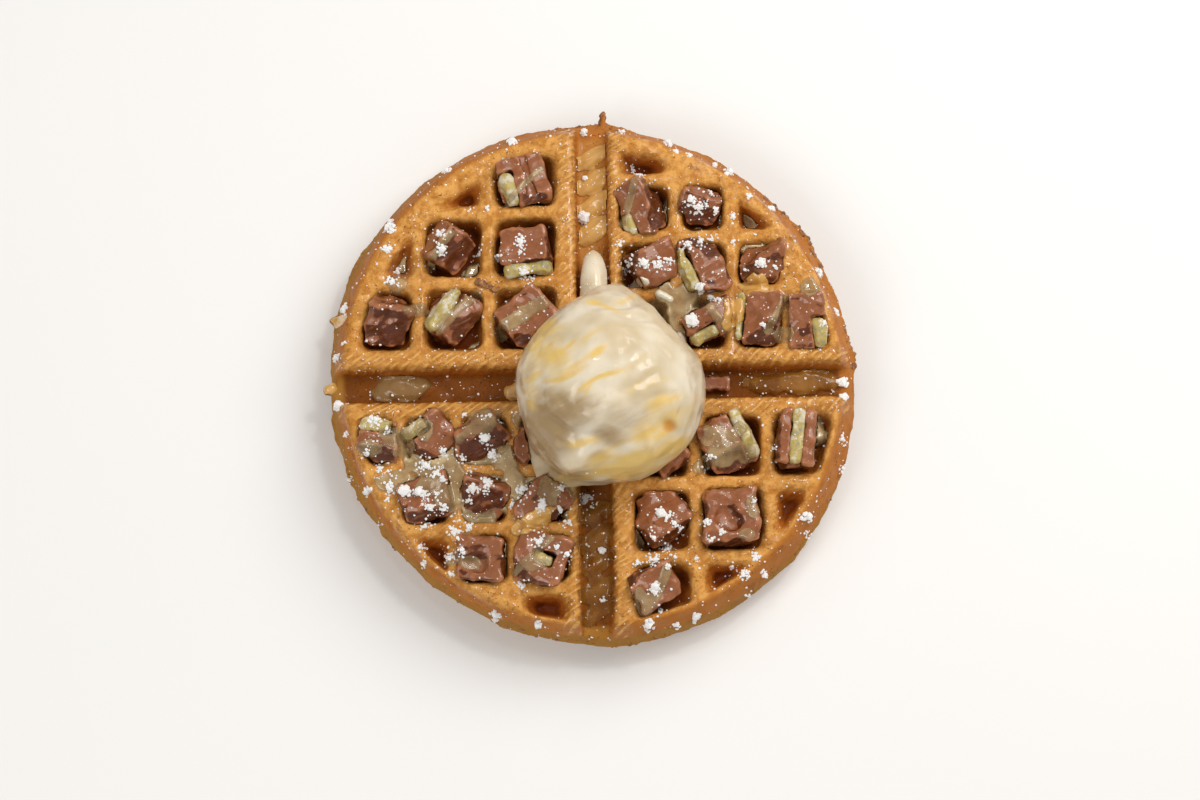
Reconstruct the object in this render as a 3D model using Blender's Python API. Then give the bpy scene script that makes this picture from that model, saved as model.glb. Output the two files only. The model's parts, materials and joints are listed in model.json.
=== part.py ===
"""Round waffle in four quarters, with a scoop of ice cream, broken filled chocolate and sugar.

The waffle lies flat, top side up. X points right, Y points away from the viewer, Z is up,
and Z = 0 is the plane that the waffle lies on. All lengths are in metres.
"""
from math import cos, degrees, pi, radians, sin, sqrt
from random import Random

import bmesh
import bpy
from mathutils import Matrix, Vector
from mathutils.bvhtree import BVHTree

MM = 0.001

# Plate of the waffle
THICKNESS = 28 * MM
SEAM_HEIGHT = THICKNESS / 2
RIM_RADIUS = 83 * MM
SEAM_RADIUS = 89 * MM
OVAL = 1.3 * MM
OVAL_TURN = radians(131)
RIM_SIDES = 84
PLATE_CENTRE = Vector((0.2 * MM, -1.9 * MM))

# Pockets and the two crossing channels, pressed in from both sides
RELIEF_DEPTH = 9 * MM
POCKET_CIRCLE = 80 * MM
POCKET_CORNER = 1.7 * MM
RIDGE = 4.5 * MM
CROSS = Vector((0.8 * MM, -2.6 * MM)) + PLATE_CENTRE
CHANNEL_HALF = 6.1 * MM
CHANNEL_REACH = 120 * MM
SMALLEST_POCKET = 1.7 * MM
CIRCLE_POINTS = 48

# Each quarter: side of the cross, pockets along an edge, start of the first pocket,
# and where the first ridge runs and how far the next ones are, along X and along Y
QUARTERS = (
    (-1, +1, 3, (12.4, 11.8), (35.0, 23.4), (34.5, 24.1)),
    (+1, +1, 4, (9.2, 11.0), (28.4, 18.3), (30.0, 19.6)),
    (-1, -1, 4, (9.2, 11.0), (27.2, 19.2), (29.0, 19.7)),
    (+1, -1, 3, (12.4, 11.8), (33.2, 24.1), (34.4, 24.7)),
)

# Ridges round over: depth below the face and how far the pocket wall stands in from its outline
POCKET_WALL = ((0.0, -0.8 * MM), (1.1 * MM, 0.0), (7.6 * MM, 1.3 * MM), (9.0 * MM, 2.6 * MM))
CHANNEL_WALL = ((0.0, -0.8 * MM), (1.1 * MM, 0.0), (7.8 * MM, 1.3 * MM), (9.0 * MM, 2.2 * MM))

# Clearance that separate pieces keep from each other
GAP = 0.35 * MM
SCOOP_GAP = 0.5 * MM
OVERHANG = 1.9 * MM

# Scoop of ice cream
SCOOP_CENTRE = Vector((6.4 * MM, -7.0 * MM)) + PLATE_CENTRE
SCOOP_MIDDLE = 43 * MM
SCOOP_RISE = 30 * MM
SCOOP_SIDES = 30
SCOOP_LEVELS = (28.35, 30.0, 33.0, 38.0, 44.0, 50.0, 56.0, 61.0, 65.5, 69.0, 71.6)
FOOT_REACH = 18 * MM
TONGUE_MIDDLE = (1.1, 29.5, 27.2)
TONGUE_HALF = Vector((4.4, 13.2, 3.8))
NEAR_SCOOP = 50 * MM

# Broken chocolate: middle of the piece, length, width and height, height of its top,
# turn, roll about its length, pitch, detail, filled side, how far along its length the filling ends
CHUNKS = (
    (-22.6, 66.4, 16.0, 15.5, 13, 33.5, 105, 8, 6, "ribbed", "left", 0.7),
    (-21.7, 42.5, 16.5, 16.5, 13, 33.0, 7, 7, 0, "plain", "right", 1.0),
    (-48.1, 45.2, 14.0, 12.5, 13, 33.5, 55, 38, 0, "plain", "", 0),
    (-22.0, 20.6, 16.5, 14.5, 12, 33.0, 37, 8, 0, "plain", "", 0),
    (-46.6, 21.0, 17.5, 13.5, 12, 33.5, 56, 22, 0, "plain", "left", 1.0),
    (-67.9, 20.6, 14.5, 15.0, 13, 33.5, -17, 36, 0, "plain", "", 0),
    (17.8, 56.6, 21.5, 12.0, 13, 34.0, 107, -26, -4, "plain", "left", 0.5),
    (36.6, 57.8, 14.5, 15.0, 13, 34.0, -24, 32, 12, "plain", "", 0),
    (20.6, 38.0, 15.0, 13.0, 12, 34.0, 22, 12, 9, "plain", "", 0),
    (36.6, 35.8, 20.5, 15.0, 12, 33.5, 113, 10, 0, "plain", "left", 0.9),
    (59.0, 37.6, 20.0, 12.5, 13, 34.0, 33, 38, -6, "plain", "", 0),
    (55.9, 17.9, 17.5, 16.0, 13, 33.5, 82, -14, 0, "plain", "left", 1.0),
    (72.3, 17.2, 19.0, 12.5, 13, 33.5, 97, -6, -9, "plain", "right", 0.55),
    (40.0, 18.0, 18.5, 11.0, 11, 33.0, 30, 9, 0, "plain", "right", 0.5),
    (-69.8, -21.0, 15.5, 15.0, 13, 33.5, -8, 9, -5, "plain", "left", 0.7),
    (-54.9, -19.0, 15.5, 13.0, 12, 33.5, 33, 16, 0, "plain", "left", 0.6),
    (-38.4, -19.8, 18.0, 14.0, 13, 34.0, 31, 30, 0, "plain", "", 0),
    (-22.8, -24.4, 9.0, 8.0, 10, 31.5, 50, 0, 10, "plain", "", 0),
    (-55.4, -40.4, 16.0, 14.0, 12, 32.0, 14, 6, 0, "plain", "", 0),
    (-37.3, -38.9, 15.5, 15.0, 13, 34.0, -28, 32, 14, "plain", "", 0),
    (-17.2, -42.0, 19.0, 14.0, 12, 32.5, 48, 10, 0, "plain", "", 0),
    (-37.8, -61.2, 15.5, 13.5, 12, 33.0, -6, 6, 0, "hollow", "", 0),
    (-17.9, -61.4, 18.0, 17.0, 12, 33.0, -20, 0, 0, "ring", "middle", 0.75),
    (44.7, -23.8, 19.0, 17.0, 12, 32.5, -64, 0, 0, "plain", "left", 1.0),
    (67.6, -22.4, 18.0, 13.5, 13, 33.5, 83, 0, 0, "plain", "middle", 1.0),
    (25.0, -28.0, 12.0, 9.0, 10, 30.0, 33, 0, 0, "plain", "", 0),
    (23.0, -47.8, 17.0, 15.5, 13, 33.0, 32, -14, 8, "plain", "", 0),
    (44.9, -48.0, 17.5, 17.5, 12, 32.5, 3, 0, 0, "hollow", "", 0),
    (18.6, -70.4, 15.0, 13.0, 13, 33.5, 24, 16, 8, "plain", "", 0),
)
BREAK = 1.0 * MM
CHUNK_BEVEL = 0.7 * MM
OPEN_SIDE = 20 * MM

# Broken slanting faces: the way each one looks in degrees, and how far from the middle of its piece
# it begins, in millimetres
BROKEN_FACES = {
    1: (-80, 3.5), 2: (-15, 6.0), 3: (-40, 0.5), 4: (-75, 4.5), 5: (-30, 2.0), 6: (-75, 0.0), 7: (-15, 1.0),
    8: (-120, 0.5), 9: (190, 3.5), 10: (60, 3.5), 11: (-125, 0.5), 12: (-70, 2.0), 13: (-95, 4.0),
    14: (-40, 3.0), 15: (-110, 0.5), 16: (-130, 3.0), 17: (-65, 0.0), 19: (-80, 3.5), 20: (-125, 0.5),
    21: (-60, 3.0), 23: (-140, 6.0), 24: (-60, 2.5), 25: (180, 6.0), 27: (160, 1.5), 29: (150, 3.0),
}
BREAK_SLOPE = radians(42)
RIB = (0.2, 2.8, 1.3)
HOLLOW_MIDDLE = (-0.06, -0.08)
HOLLOW_HALF = (0.30, 0.25)
HOLLOW_DEPTH = 2.6 * MM

# Bars of filling, and the slots that they lie in
FILLING_WIDTH = 4.2 * MM
FILLING_DEPTH = 6.0 * MM
FILLING_ROUNDING = 0.8 * MM
FILLING_INSET = 0.2 * MM
FILLING_SHORT = 0.4 * MM
FILLING_BELOW = 0.1 * MM
RING_START = 0.38
SLOT_PAST = 3 * MM
SLOT_ABOVE = 4 * MM
CHANNEL_CHIP = (41.5, -2.6, 9.5, 5.0, 3.0)

# Thick caramel lying in the channels: middle, half sizes, and turn
SAUCE = (
    (1.6, 51.5, 6.6, 3.6, 1.5, 38),
    (1.6, 60.0, 6.6, 3.3, 1.5, 36),
    (1.4, 68.5, 6.6, 3.1, 1.5, 34),
    (1.2, 77.0, 6.2, 2.6, 1.4, 30),
    (0.6, -46.0, 6.0, 1.9, 1.0, 34),
    (0.6, -54.0, 6.0, 2.2, 1.0, 32),
    (0.8, -62.5, 6.0, 1.9, 1.0, 36),
    (0.8, -71.0, 6.0, 2.2, 1.0, 33),
    (1.0, -79.0, 5.6, 1.8, 1.0, 30),
    (-61.0, -2.4, 8.6, 3.9, 1.3, 2),
    (67.5, -2.6, 15.5, 4.1, 1.3, 0),
)
DRIPS = ((-88.2, -1.8, 17.4, 3.0), (-87.4, 22.4, 14.8, 2.2))

# Batter squeezed out along the seam: direction, half width in degrees, and height
FLASH_LUMPS = (
    (86, 7, 1.7), (40, 3, 2.0), (34, 3, 2.6), (29, 2, 2.4),
    (5, 1.5, 1.8), (-80, 9, 0.9), (152, 4, 1.2),
)

# Spike of batter at the back: place and height of its root, length, and radius
SPIKE = (5.2, 86.5, 15.0, 8.0, 1.9)
SPIKE_LEAN = radians(-68)

# Clumps of powdered sugar
RIM_GRAINS = 26
GRAIN_LARGEST = 1.7 * MM
GRAIN_SMALLEST = 0.9 * MM
SUGARED = (3, 8, 9, 11, 17, 19, 20, 21, 27, 29)


def clear_scene():
    for item in list(bpy.data.objects):
        bpy.data.objects.remove(item, do_unlink=True)


def material(name, colour, roughness, coat=0.0):
    """Principled material with one colour."""
    made = bpy.data.materials.new(name)
    made.use_nodes = True
    shader = made.node_tree.nodes["Principled BSDF"]
    shader.inputs["Base Color"].default_value = (*colour, 1.0)
    shader.inputs["Roughness"].default_value = roughness
    shader.inputs["Metallic"].default_value = 0.0
    shader.inputs["Coat Weight"].default_value = coat
    return made


def put_object(name, shape):
    """Turn a bmesh into an object in the scene."""
    bmesh.ops.recalc_face_normals(shape, faces=shape.faces)
    mesh = bpy.data.meshes.new(name)
    shape.to_mesh(mesh)
    shape.free()
    made = bpy.data.objects.new(name, mesh)
    bpy.context.scene.collection.objects.link(made)
    return made


def finish(piece, finish_material, sharp_angle=40):
    piece.data.materials.clear()
    piece.data.materials.append(finish_material)
    piece.data.shade_smooth()
    piece.data.set_sharp_from_angle(angle=radians(sharp_angle))


def combine(piece, operation, other):
    """Apply one Boolean with another object, or with all objects of a collection, and remove those."""
    step = piece.modifiers.new("combine", "BOOLEAN")
    step.operation = operation
    step.solver = "EXACT"
    if isinstance(other, bpy.types.Collection):
        step.operand_type = "COLLECTION"
        step.collection = other
        used = list(other.objects)
    else:
        step.object = other
        used = [other]
    bpy.context.view_layer.update()
    graph = bpy.context.evaluated_depsgraph_get()
    mesh = bpy.data.meshes.new_from_object(piece.evaluated_get(graph))
    piece.modifiers.clear()
    piece.data = mesh
    for item in used:
        bpy.data.objects.remove(item, do_unlink=True)


def loft(shape, loops):
    """Closed body through outlines of equal length, each running anticlockwise, from low to high."""
    rings = [[shape.verts.new(point) for point in loop] for loop in loops]
    for lower, upper in zip(rings, rings[1:]):
        for i in range(len(lower)):
            j = (i + 1) % len(lower)
            shape.faces.new((lower[i], lower[j], upper[j], upper[i]))
    shape.faces.new(rings[0][::-1])
    shape.faces.new(rings[-1])


# Waffle plate


def on_plate(x, y):
    """Place in millimetres from the middle of the plate, as metres from the origin."""
    return Vector((x, y)) * MM + PLATE_CENTRE


def edge_radius(radius, angle):
    """Outline of the plate, slightly oval."""
    return radius + OVAL * cos(2 * (angle - OVAL_TURN))


def flash(angle):
    """How far the batter stands out along the seam."""
    ripple = 0.25 * sin(7 * angle + 1.0) + 0.22 * sin(17 * angle + 2.0) + 0.18 * sin(31 * angle)
    height = 0.5 + ripple
    for direction, half_width, lump in FLASH_LUMPS:
        away = (degrees(angle) - direction + 180) % 360 - 180
        height += lump * max(0.0, 1 - (away / half_width) ** 2)
    return max(height, 0.0) * MM


def plate():
    """Sloping rim, widest at the seam."""
    face, low, high = 1.2 * MM, SEAM_HEIGHT - 1.3 * MM, SEAM_HEIGHT + 1.3 * MM
    levels = (
        (0.0, RIM_RADIUS - 0.9 * MM, 0), (face, RIM_RADIUS + 0.7 * MM, 0),
        (low, SEAM_RADIUS - 0.7 * MM, 0.2), (SEAM_HEIGHT, SEAM_RADIUS, 1),
        (high, SEAM_RADIUS - 0.7 * MM, 0.2), (THICKNESS - face, RIM_RADIUS + 0.7 * MM, 0),
        (THICKNESS, RIM_RADIUS - 0.9 * MM, 0),
    )
    loops = []
    for height, radius, share in levels:
        loop = []
        for i in range(RIM_SIDES):
            angle = 2 * pi * i / RIM_SIDES
            reach = edge_radius(radius, angle) + share * flash(angle)
            x = PLATE_CENTRE.x + reach * cos(angle)
            y = PLATE_CENTRE.y + reach * sin(angle)
            loop.append((x, y, height))
        loops.append(loop)
    shape = bmesh.new()
    loft(shape, loops)
    return put_object("waffle", shape)


def clip(points, axis, limit, side):
    """Keep the part of a flat outline on one side of a line along X or Y."""
    kept = []
    for here, after in zip(points, points[1:] + points[:1]):
        a = side * (here[axis] - limit)
        b = side * (after[axis] - limit)
        if a >= 0:
            kept.append(here)
        if a * b < 0:
            kept.append(here.lerp(after, a / (a - b)))
    return kept


def cut_corners(points):
    """Cut each sharp corner of an outline back along both of its sides."""
    cut = []
    for i, corner in enumerate(points):
        before, after = points[i - 1] - corner, points[(i + 1) % len(points)] - corner
        if pi - before.angle(after) < radians(30):
            cut.append(corner)
            continue
        cut.append(corner + before * min(POCKET_CORNER / before.length, 0.4))
        cut.append(corner + after * min(POCKET_CORNER / after.length, 0.4))
    return cut


def pockets():
    """Outline of every pocket of the four quarters, cut to the pocket circle."""
    circle = [CROSS + POCKET_CIRCLE * Vector((cos(a), sin(a)))
              for a in (2 * pi * i / CIRCLE_POINTS for i in range(CIRCLE_POINTS))]
    found = []
    for side_x, side_y, count, starts, *ridges in QUARTERS:
        sides = (side_x, side_y)
        for column in range(count):
            for row in range(count):
                outline = circle
                for axis, index in enumerate((column, row)):
                    first, pitch = ridges[axis]
                    low = starts[axis] * MM if index == 0 else (first + (index - 1) * pitch) * MM + RIDGE / 2
                    high = (first + index * pitch) * MM - RIDGE / 2
                    near = CROSS[axis] + sides[axis] * low
                    far = CROSS[axis] + sides[axis] * high
                    outline = clip(outline, axis, near, sides[axis]) if outline else []
                    outline = clip(outline, axis, far, -sides[axis]) if outline else []
                if len(outline) > 2 and half_width(outline) > SMALLEST_POCKET:
                    found.append(outline)
    return found


def middle(outline):
    return sum(outline, Vector((0.0, 0.0))) / len(outline)


def half_width(outline):
    """Distance from the middle of an outline to its nearest edge."""
    centre = middle(outline)
    nearest = []
    for a, b in zip(outline, outline[1:] + outline[:1]):
        along = (b - a).normalized()
        nearest.append(abs((centre - a).cross(along)))
    return min(nearest)


def inset(outline, distance, height):
    """The same outline drawn in, or out where the distance is below zero, at a height."""
    centre = middle(outline)
    half = half_width(outline)
    factor = 1 - min(distance, 0.6 * half) / half
    return [(*(centre + (point - centre) * factor), height) for point in outline]


def pocket_cutter(outlines, from_top):
    """One mesh of tapered blocks that presses all pockets of one face."""
    shape = bmesh.new()
    wall = POCKET_WALL if from_top else POCKET_WALL[:2] + POCKET_WALL[3:]
    for outline in outlines:
        blunt = cut_corners(outline)
        loops = []
        for depth, distance in ((-1.0 * MM, wall[0][1]),) + wall:
            height = THICKNESS - depth if from_top else depth
            loops.append(inset(blunt, distance, height))
        loft(shape, loops[::-1] if from_top else loops)
    return put_object("pocket_cutter", shape)


def cross_loops(reach, from_top, distance_out=0.0, floor_up=0.0):
    """Outlines of the two crossing channels, at the heights of their wall."""
    loops = []
    for depth, distance in ((-1.0 * MM, CHANNEL_WALL[0][1]),) + CHANNEL_WALL:
        half = CHANNEL_HALF - distance - distance_out
        depth = min(depth, RELIEF_DEPTH - floor_up)
        height = THICKNESS - depth if from_top else depth
        corners = []
        for turn in range(4):
            spin = Matrix.Rotation(turn * pi / 2, 2)
            for x, y in ((half, half), (half, reach), (-half, reach)):
                corners.append((*(CROSS + spin @ Vector((x, y))), height))
        loops.append(corners)
    return loops[::-1] if from_top else loops


def channel_cutter(from_top):
    shape = bmesh.new()
    loft(shape, cross_loops(CHANNEL_REACH, from_top))
    return put_object("channel_cutter", shape)


def blob(shape, place, half_sizes, turn, detail=2):
    """Rounded lump."""
    spin = Matrix.Translation(place) @ Matrix.Rotation(turn, 4, "Z")
    stretch = Matrix.Diagonal((*half_sizes, 1.0))
    bmesh.ops.create_icosphere(shape, subdivisions=detail, radius=1.0, matrix=spin @ stretch)


def drop_scraps(piece):
    """Keep the largest body of a cut piece."""
    shape = bmesh.new()
    shape.from_mesh(piece.data)
    bodies = []
    left = set(shape.verts)
    while left:
        body, front = set(), {left.pop()}
        while front:
            body |= front
            front = {edge.other_vert(vert) for vert in front for edge in vert.link_edges} - body
        left -= body
        bodies.append(body)
    largest = max(bodies, key=len)
    bmesh.ops.delete(shape, geom=[vert for vert in shape.verts if vert not in largest], context="VERTS")
    shape.to_mesh(piece.data)
    shape.free()


def surface(piece):
    """Search tree over a piece, to set things down on it."""
    corners = [vert.co for vert in piece.data.vertices]
    return BVHTree.FromPolygons(corners, [face.vertices for face in piece.data.polygons])


def height_at(tree, x, y):
    hit = tree.ray_cast(Vector((x, y, 1.0)), Vector((0, 0, -1)))[0]
    return hit.z if hit else None


def grain(draw, place, size):
    """One clump of powdered sugar, as a body of its own."""
    shape = bmesh.new()
    blob(shape, place, (size, size * draw.uniform(0.7, 1.0), size * 0.6), draw.uniform(0, pi), 1)
    for vert in shape.verts:
        vert.co += 0.16 * size * Vector((draw.uniform(-1, 1), draw.uniform(-1, 1), draw.uniform(-1, 1)))
    return put_object("grain", shape)


def fuse(piece, extras):
    """Join small bodies to the piece that they lie on."""
    group = bpy.data.collections.new("fused")
    bpy.context.scene.collection.children.link(group)
    for extra in extras:
        bpy.context.scene.collection.objects.unlink(extra)
        group.objects.link(extra)
    combine(piece, "UNION", group)
    bpy.data.collections.remove(group)


def sauce_and_flash():
    """Thick caramel in the channels, two hanging drops, and the spike of batter at the back."""
    extras = []
    floor = THICKNESS - RELIEF_DEPTH
    for x, y, half_x, half_y, thick, turn in SAUCE:
        shape = bmesh.new()
        place = Vector((*on_plate(x, y), floor))
        blob(shape, place, (half_x * MM, half_y * MM, thick * MM), radians(turn))
        extras.append(put_object("sauce", shape))
    for x, y, z, size in DRIPS:
        shape = bmesh.new()
        place = Vector((*on_plate(x, y), z * MM))
        blob(shape, place, (size * MM, size * 0.8 * MM, size * 0.8 * MM), 0, 2)
        extras.append(put_object("drip", shape))
    x, y, *rest = SPIKE
    z, length, radius = (value * MM for value in rest)
    shape = bmesh.new()
    lean = Matrix.Translation((*on_plate(x, y), z)) @ Matrix.Rotation(SPIKE_LEAN, 4, "X")
    up = Matrix.Translation((0, 0, length / 2))
    bmesh.ops.create_cone(shape, cap_ends=True, segments=7, radius1=radius, radius2=radius * 0.2,
                          depth=length, matrix=lean @ up)
    extras.append(put_object("spike", shape))
    return extras


def rim_sugar(piece, draw):
    """Clumps of sugar on the sloping rim, largest first."""
    tree = surface(piece)
    extras = []
    for index in range(RIM_GRAINS):
        size = GRAIN_LARGEST + (GRAIN_SMALLEST - GRAIN_LARGEST) * index / RIM_GRAINS
        angle = 2 * pi * (index * 0.382 + draw.uniform(-0.02, 0.02))
        radius = edge_radius(draw.uniform(83.8, 86.5) * MM, angle)
        x = PLATE_CENTRE.x + radius * cos(angle)
        y = PLATE_CENTRE.y + radius * sin(angle)
        extras.append(grain(draw, Vector((x, y, height_at(tree, x, y) + 0.1 * size)), size))
    return extras


# Scoop of ice cream


def scoop_outline(angle):
    """Radius of the scoop seen from above, an egg that leans to the front right."""
    return (31.2 - 3.6 * bump(angle, 42, 34) + 2.0 * bump(angle, -118, 45) + 1.6 * bump(angle, 92, 26)) * MM


def bump(angle, direction, half_width):
    away = (degrees(angle) - direction + 180) % 360 - 180
    return max(0.0, cos(min(abs(away) / half_width, 1.0) * pi / 2)) ** 2


def scoop_radius(angle, height):
    """Ball with soft folds, and a melted skirt where it meets the waffle."""
    level = (height - SCOOP_MIDDLE) / SCOOP_RISE
    round_off = sqrt(max(0.0, 1 - level * level))
    if height < SCOOP_MIDDLE:
        round_off = 1 - 0.7 * (1 - round_off)
    fold = 0.5 * sin(3 * angle + 90 * height) + 0.45 * sin(5 * angle - 150 * height + 1.0)
    melt = max(0.0, 1 - (height - THICKNESS) / (5 * MM))
    skirt = 8.5 * bump(angle, -130, 30) + 5.5 * bump(angle, 47, 34) + 1.0
    return scoop_outline(angle) * round_off + (fold * round_off + melt * skirt) * MM


def scoop_body(grow):
    """The scoop, or a slightly larger one that keeps other pieces clear of it."""
    loops = []
    for level in SCOOP_LEVELS:
        height = level * MM
        loop = []
        for i in range(SCOOP_SIDES):
            angle = 2 * pi * i / SCOOP_SIDES
            reach = scoop_radius(angle, height) + grow
            place = SCOOP_CENTRE + reach * Vector((cos(angle), sin(angle)))
            shift = 0.0 if level > SCOOP_LEVELS[0] else -grow
            loop.append((*place, height + shift))
        loops.append(loop)
    shape = bmesh.new()
    loft(shape, loops)
    crown = max(shape.faces, key=lambda face: face.calc_center_median().z)
    tip = bmesh.ops.poke(shape, faces=[crown])["verts"][0]
    tip.co.z = SCOOP_MIDDLE + SCOOP_RISE + grow
    bmesh.ops.triangulate(shape, faces=shape.faces, quad_method="FIXED")
    return put_object("scoop", shape)


def ice_cream():
    """Scoop with the melted foot that fills the crossing of the channels, and a tongue at the back."""
    body = scoop_body(0.0)
    foot = bmesh.new()
    loft(foot, cross_loops(FOOT_REACH, True, GAP, GAP))
    tongue = bmesh.new()
    blob(tongue, Vector((*on_plate(*TONGUE_MIDDLE[:2]), TONGUE_MIDDLE[2] * MM)), TONGUE_HALF * MM, 0)
    fuse(body, [put_object("foot", foot), put_object("tongue", tongue)])
    body.name = "ice_cream"
    return body


# Broken chocolate


def free_space(outline):
    """Room that a piece in one pocket may take: the pocket itself, and a little over its ridges."""
    blunt = cut_corners(outline)
    _, (_, wall), _, (depth, floor) = POCKET_WALL
    loops = [
        inset(blunt, floor + GAP, THICKNESS - depth + GAP),
        inset(blunt, wall + GAP, THICKNESS + GAP),
        inset(blunt, -OVERHANG, THICKNESS + GAP + 0.05 * MM),
        inset(blunt, -OVERHANG, THICKNESS + 20 * MM),
    ]
    shape = bmesh.new()
    loft(shape, loops)
    return put_object("free_space", shape)


def box(name, low, high, place):
    shape = bmesh.new()
    size = high - low
    fit = Matrix.Translation((low + high) / 2) @ Matrix.Diagonal((*size, 1.0))
    bmesh.ops.create_cube(shape, size=1.0, matrix=place @ fit)
    return put_object(name, shape)


def broken_block(draw, size, place):
    """Block with uneven corners and slightly rounded edges."""
    shape = bmesh.new()
    bmesh.ops.create_cube(shape, size=1.0, matrix=Matrix.Diagonal((*size, 1.0)))
    for vert in shape.verts:
        vert.co += BREAK * Vector((draw.uniform(-1, 1), draw.uniform(-1, 1), draw.uniform(-0.5, 0.5)))
    bmesh.ops.bevel(shape, geom=shape.edges[:], offset=CHUNK_BEVEL, segments=1, affect="EDGES")
    bmesh.ops.transform(shape, matrix=place, verts=shape.verts)
    return put_object("chocolate", shape)


def chunk_place(x, y, size, top, turn, roll, pitch):
    """Turn a block and lift it so that its highest corner is at the wanted height."""
    spin = Matrix.Rotation(radians(turn), 4, "Z") @ Matrix.Rotation(radians(roll), 4, "X")
    spin = spin @ Matrix.Rotation(radians(pitch), 4, "Y")
    corners = [spin @ Vector((sx * size.x, sy * size.y, sz * size.z)) / 2
               for sx in (-1, 1) for sy in (-1, 1) for sz in (-1, 1)]
    lift = top - max(corner.z for corner in corners)
    return Matrix.Translation((x, y, lift)) @ spin


def filling_box(size, side, share, grow, start=0.0):
    """Bar of filling in the block's own frame, or the slot that it lies in."""
    aside = (size.y - FILLING_WIDTH) / 2 - FILLING_INSET
    across = {"left": aside, "right": -aside, "middle": 0.0}[side]
    open_left = SLOT_PAST if side == "left" and grow else grow
    open_right = SLOT_PAST if side == "right" and grow else grow
    end = SLOT_PAST if grow else -FILLING_SHORT
    low_x = start * size.x - size.x / 2 - (grow if start else end)
    low_y = across - FILLING_WIDTH / 2 - open_right
    high_y = across + FILLING_WIDTH / 2 + open_left
    high_x = -size.x / 2 + share * size.x + (end if share == 1 else grow)
    top = size.z / 2 + (SLOT_ABOVE if grow else -FILLING_BELOW)
    low = Vector((low_x, low_y, size.z / 2 - FILLING_DEPTH - grow))
    return low, Vector((high_x, high_y, top))


def break_off(piece, number, x, y, top):
    """Cut a slanting face where the piece was snapped."""
    if number not in BROKEN_FACES:
        return
    direction, offset = BROKEN_FACES[number]
    way = radians(direction)
    start = Vector((x + offset * MM * cos(way), y + offset * MM * sin(way), top))
    slant = Matrix.Rotation(way, 4, "Z") @ Matrix.Rotation(BREAK_SLOPE, 4, "Y")
    low = Vector((-OPEN_SIDE, -OPEN_SIDE, 0.0))
    high = Vector((OPEN_SIDE, OPEN_SIDE, OPEN_SIDE))
    combine(piece, "DIFFERENCE", box("break", low, high, Matrix.Translation(start) @ slant))


def moulded(piece, detail, size, place):
    """Press a block's groove, or the hollow that a lost filling left, into the top."""
    if detail == "ribbed":
        start, end, deep = (value * MM for value in RIB)
        low = Vector((-size.x, -end, size.z / 2 - deep))
        combine(piece, "DIFFERENCE", box("groove", low, Vector((size.x, -start, size.z)), place))
    if detail == "hollow":
        middle_x, middle_y = (share * side for share, side in zip(HOLLOW_MIDDLE, size))
        half_x, half_y = (share * side for share, side in zip(HOLLOW_HALF, size))
        shape = bmesh.new()
        blob(shape, Vector((middle_x, middle_y, size.z / 2)), (half_x, half_y, HOLLOW_DEPTH), 0)
        bmesh.ops.transform(shape, matrix=place, verts=shape.verts)
        combine(piece, "DIFFERENCE", put_object("hollow", shape))


def chocolate(number, row, outlines, finishes):
    """One broken piece, cut to the room it has, with its filling where that shows."""
    x, y, length, width, tall, top, turn, roll, pitch, detail, side, share = row
    draw = Random(number)
    x, y = on_plate(x, y)
    size = Vector((length, width, tall)) * MM
    place = chunk_place(x, y, size, top * MM, turn, roll, pitch)
    piece = broken_block(draw, size, place)
    break_off(piece, number, x, y, top * MM)
    if number in SUGARED:
        tree = surface(piece)
        spot = (x + draw.uniform(-3, 3) * MM, y + draw.uniform(-3, 3) * MM)
        fuse(piece, [grain(draw, Vector((*spot, height_at(tree, *spot))), GRAIN_LARGEST)])
    moulded(piece, detail, size, place)
    made = [(piece, f"chocolate_{number:02d}", finishes["chocolate"])]
    if side:
        start = RING_START if detail == "ring" else 0.0
        combine(piece, "DIFFERENCE", box("slot", *filling_box(size, side, share, GAP, start), place))
        low, high = filling_box(size, side, share, 0.0, start)
        bar = box("filling", low, high, place)
        shape = bmesh.new()
        shape.from_mesh(bar.data)
        bmesh.ops.bevel(shape, geom=shape.edges[:], offset=FILLING_ROUNDING, segments=1, affect="EDGES")
        shape.to_mesh(bar.data)
        shape.free()
        break_off(bar, number, x, y, top * MM)
        made.append((bar, f"filling_{number:02d}", finishes["filling"]))
    home = min(outlines, key=lambda outline: (middle(outline) - Vector((x, y))).length)
    near_scoop = (Vector((x, y)) - SCOOP_CENTRE).length < NEAR_SCOOP
    for solid, name, finish_material in made:
        combine(solid, "INTERSECT", free_space(home))
        if near_scoop:
            combine(solid, "DIFFERENCE", scoop_body(SCOOP_GAP))
        drop_scraps(solid)
        solid.name = name
        finish(solid, finish_material)


def chip(finishes):
    """Flat piece of chocolate lying in the right-hand channel."""
    x, y = on_plate(*CHANNEL_CHIP[:2])
    length, width, tall = (value * MM for value in CHANNEL_CHIP[2:])
    floor = THICKNESS - RELIEF_DEPTH + GAP
    low = Vector((x - length / 2, y - width / 2, floor))
    high = Vector((x + length / 2, y + width / 2, floor + tall))
    piece = box("chocolate_30", low, high, Matrix.Identity(4))
    rounding = piece.modifiers.new("rounding", "BEVEL")
    rounding.width = CHUNK_BEVEL
    rounding.segments = 1
    finish(piece, finishes["chocolate"])


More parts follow.
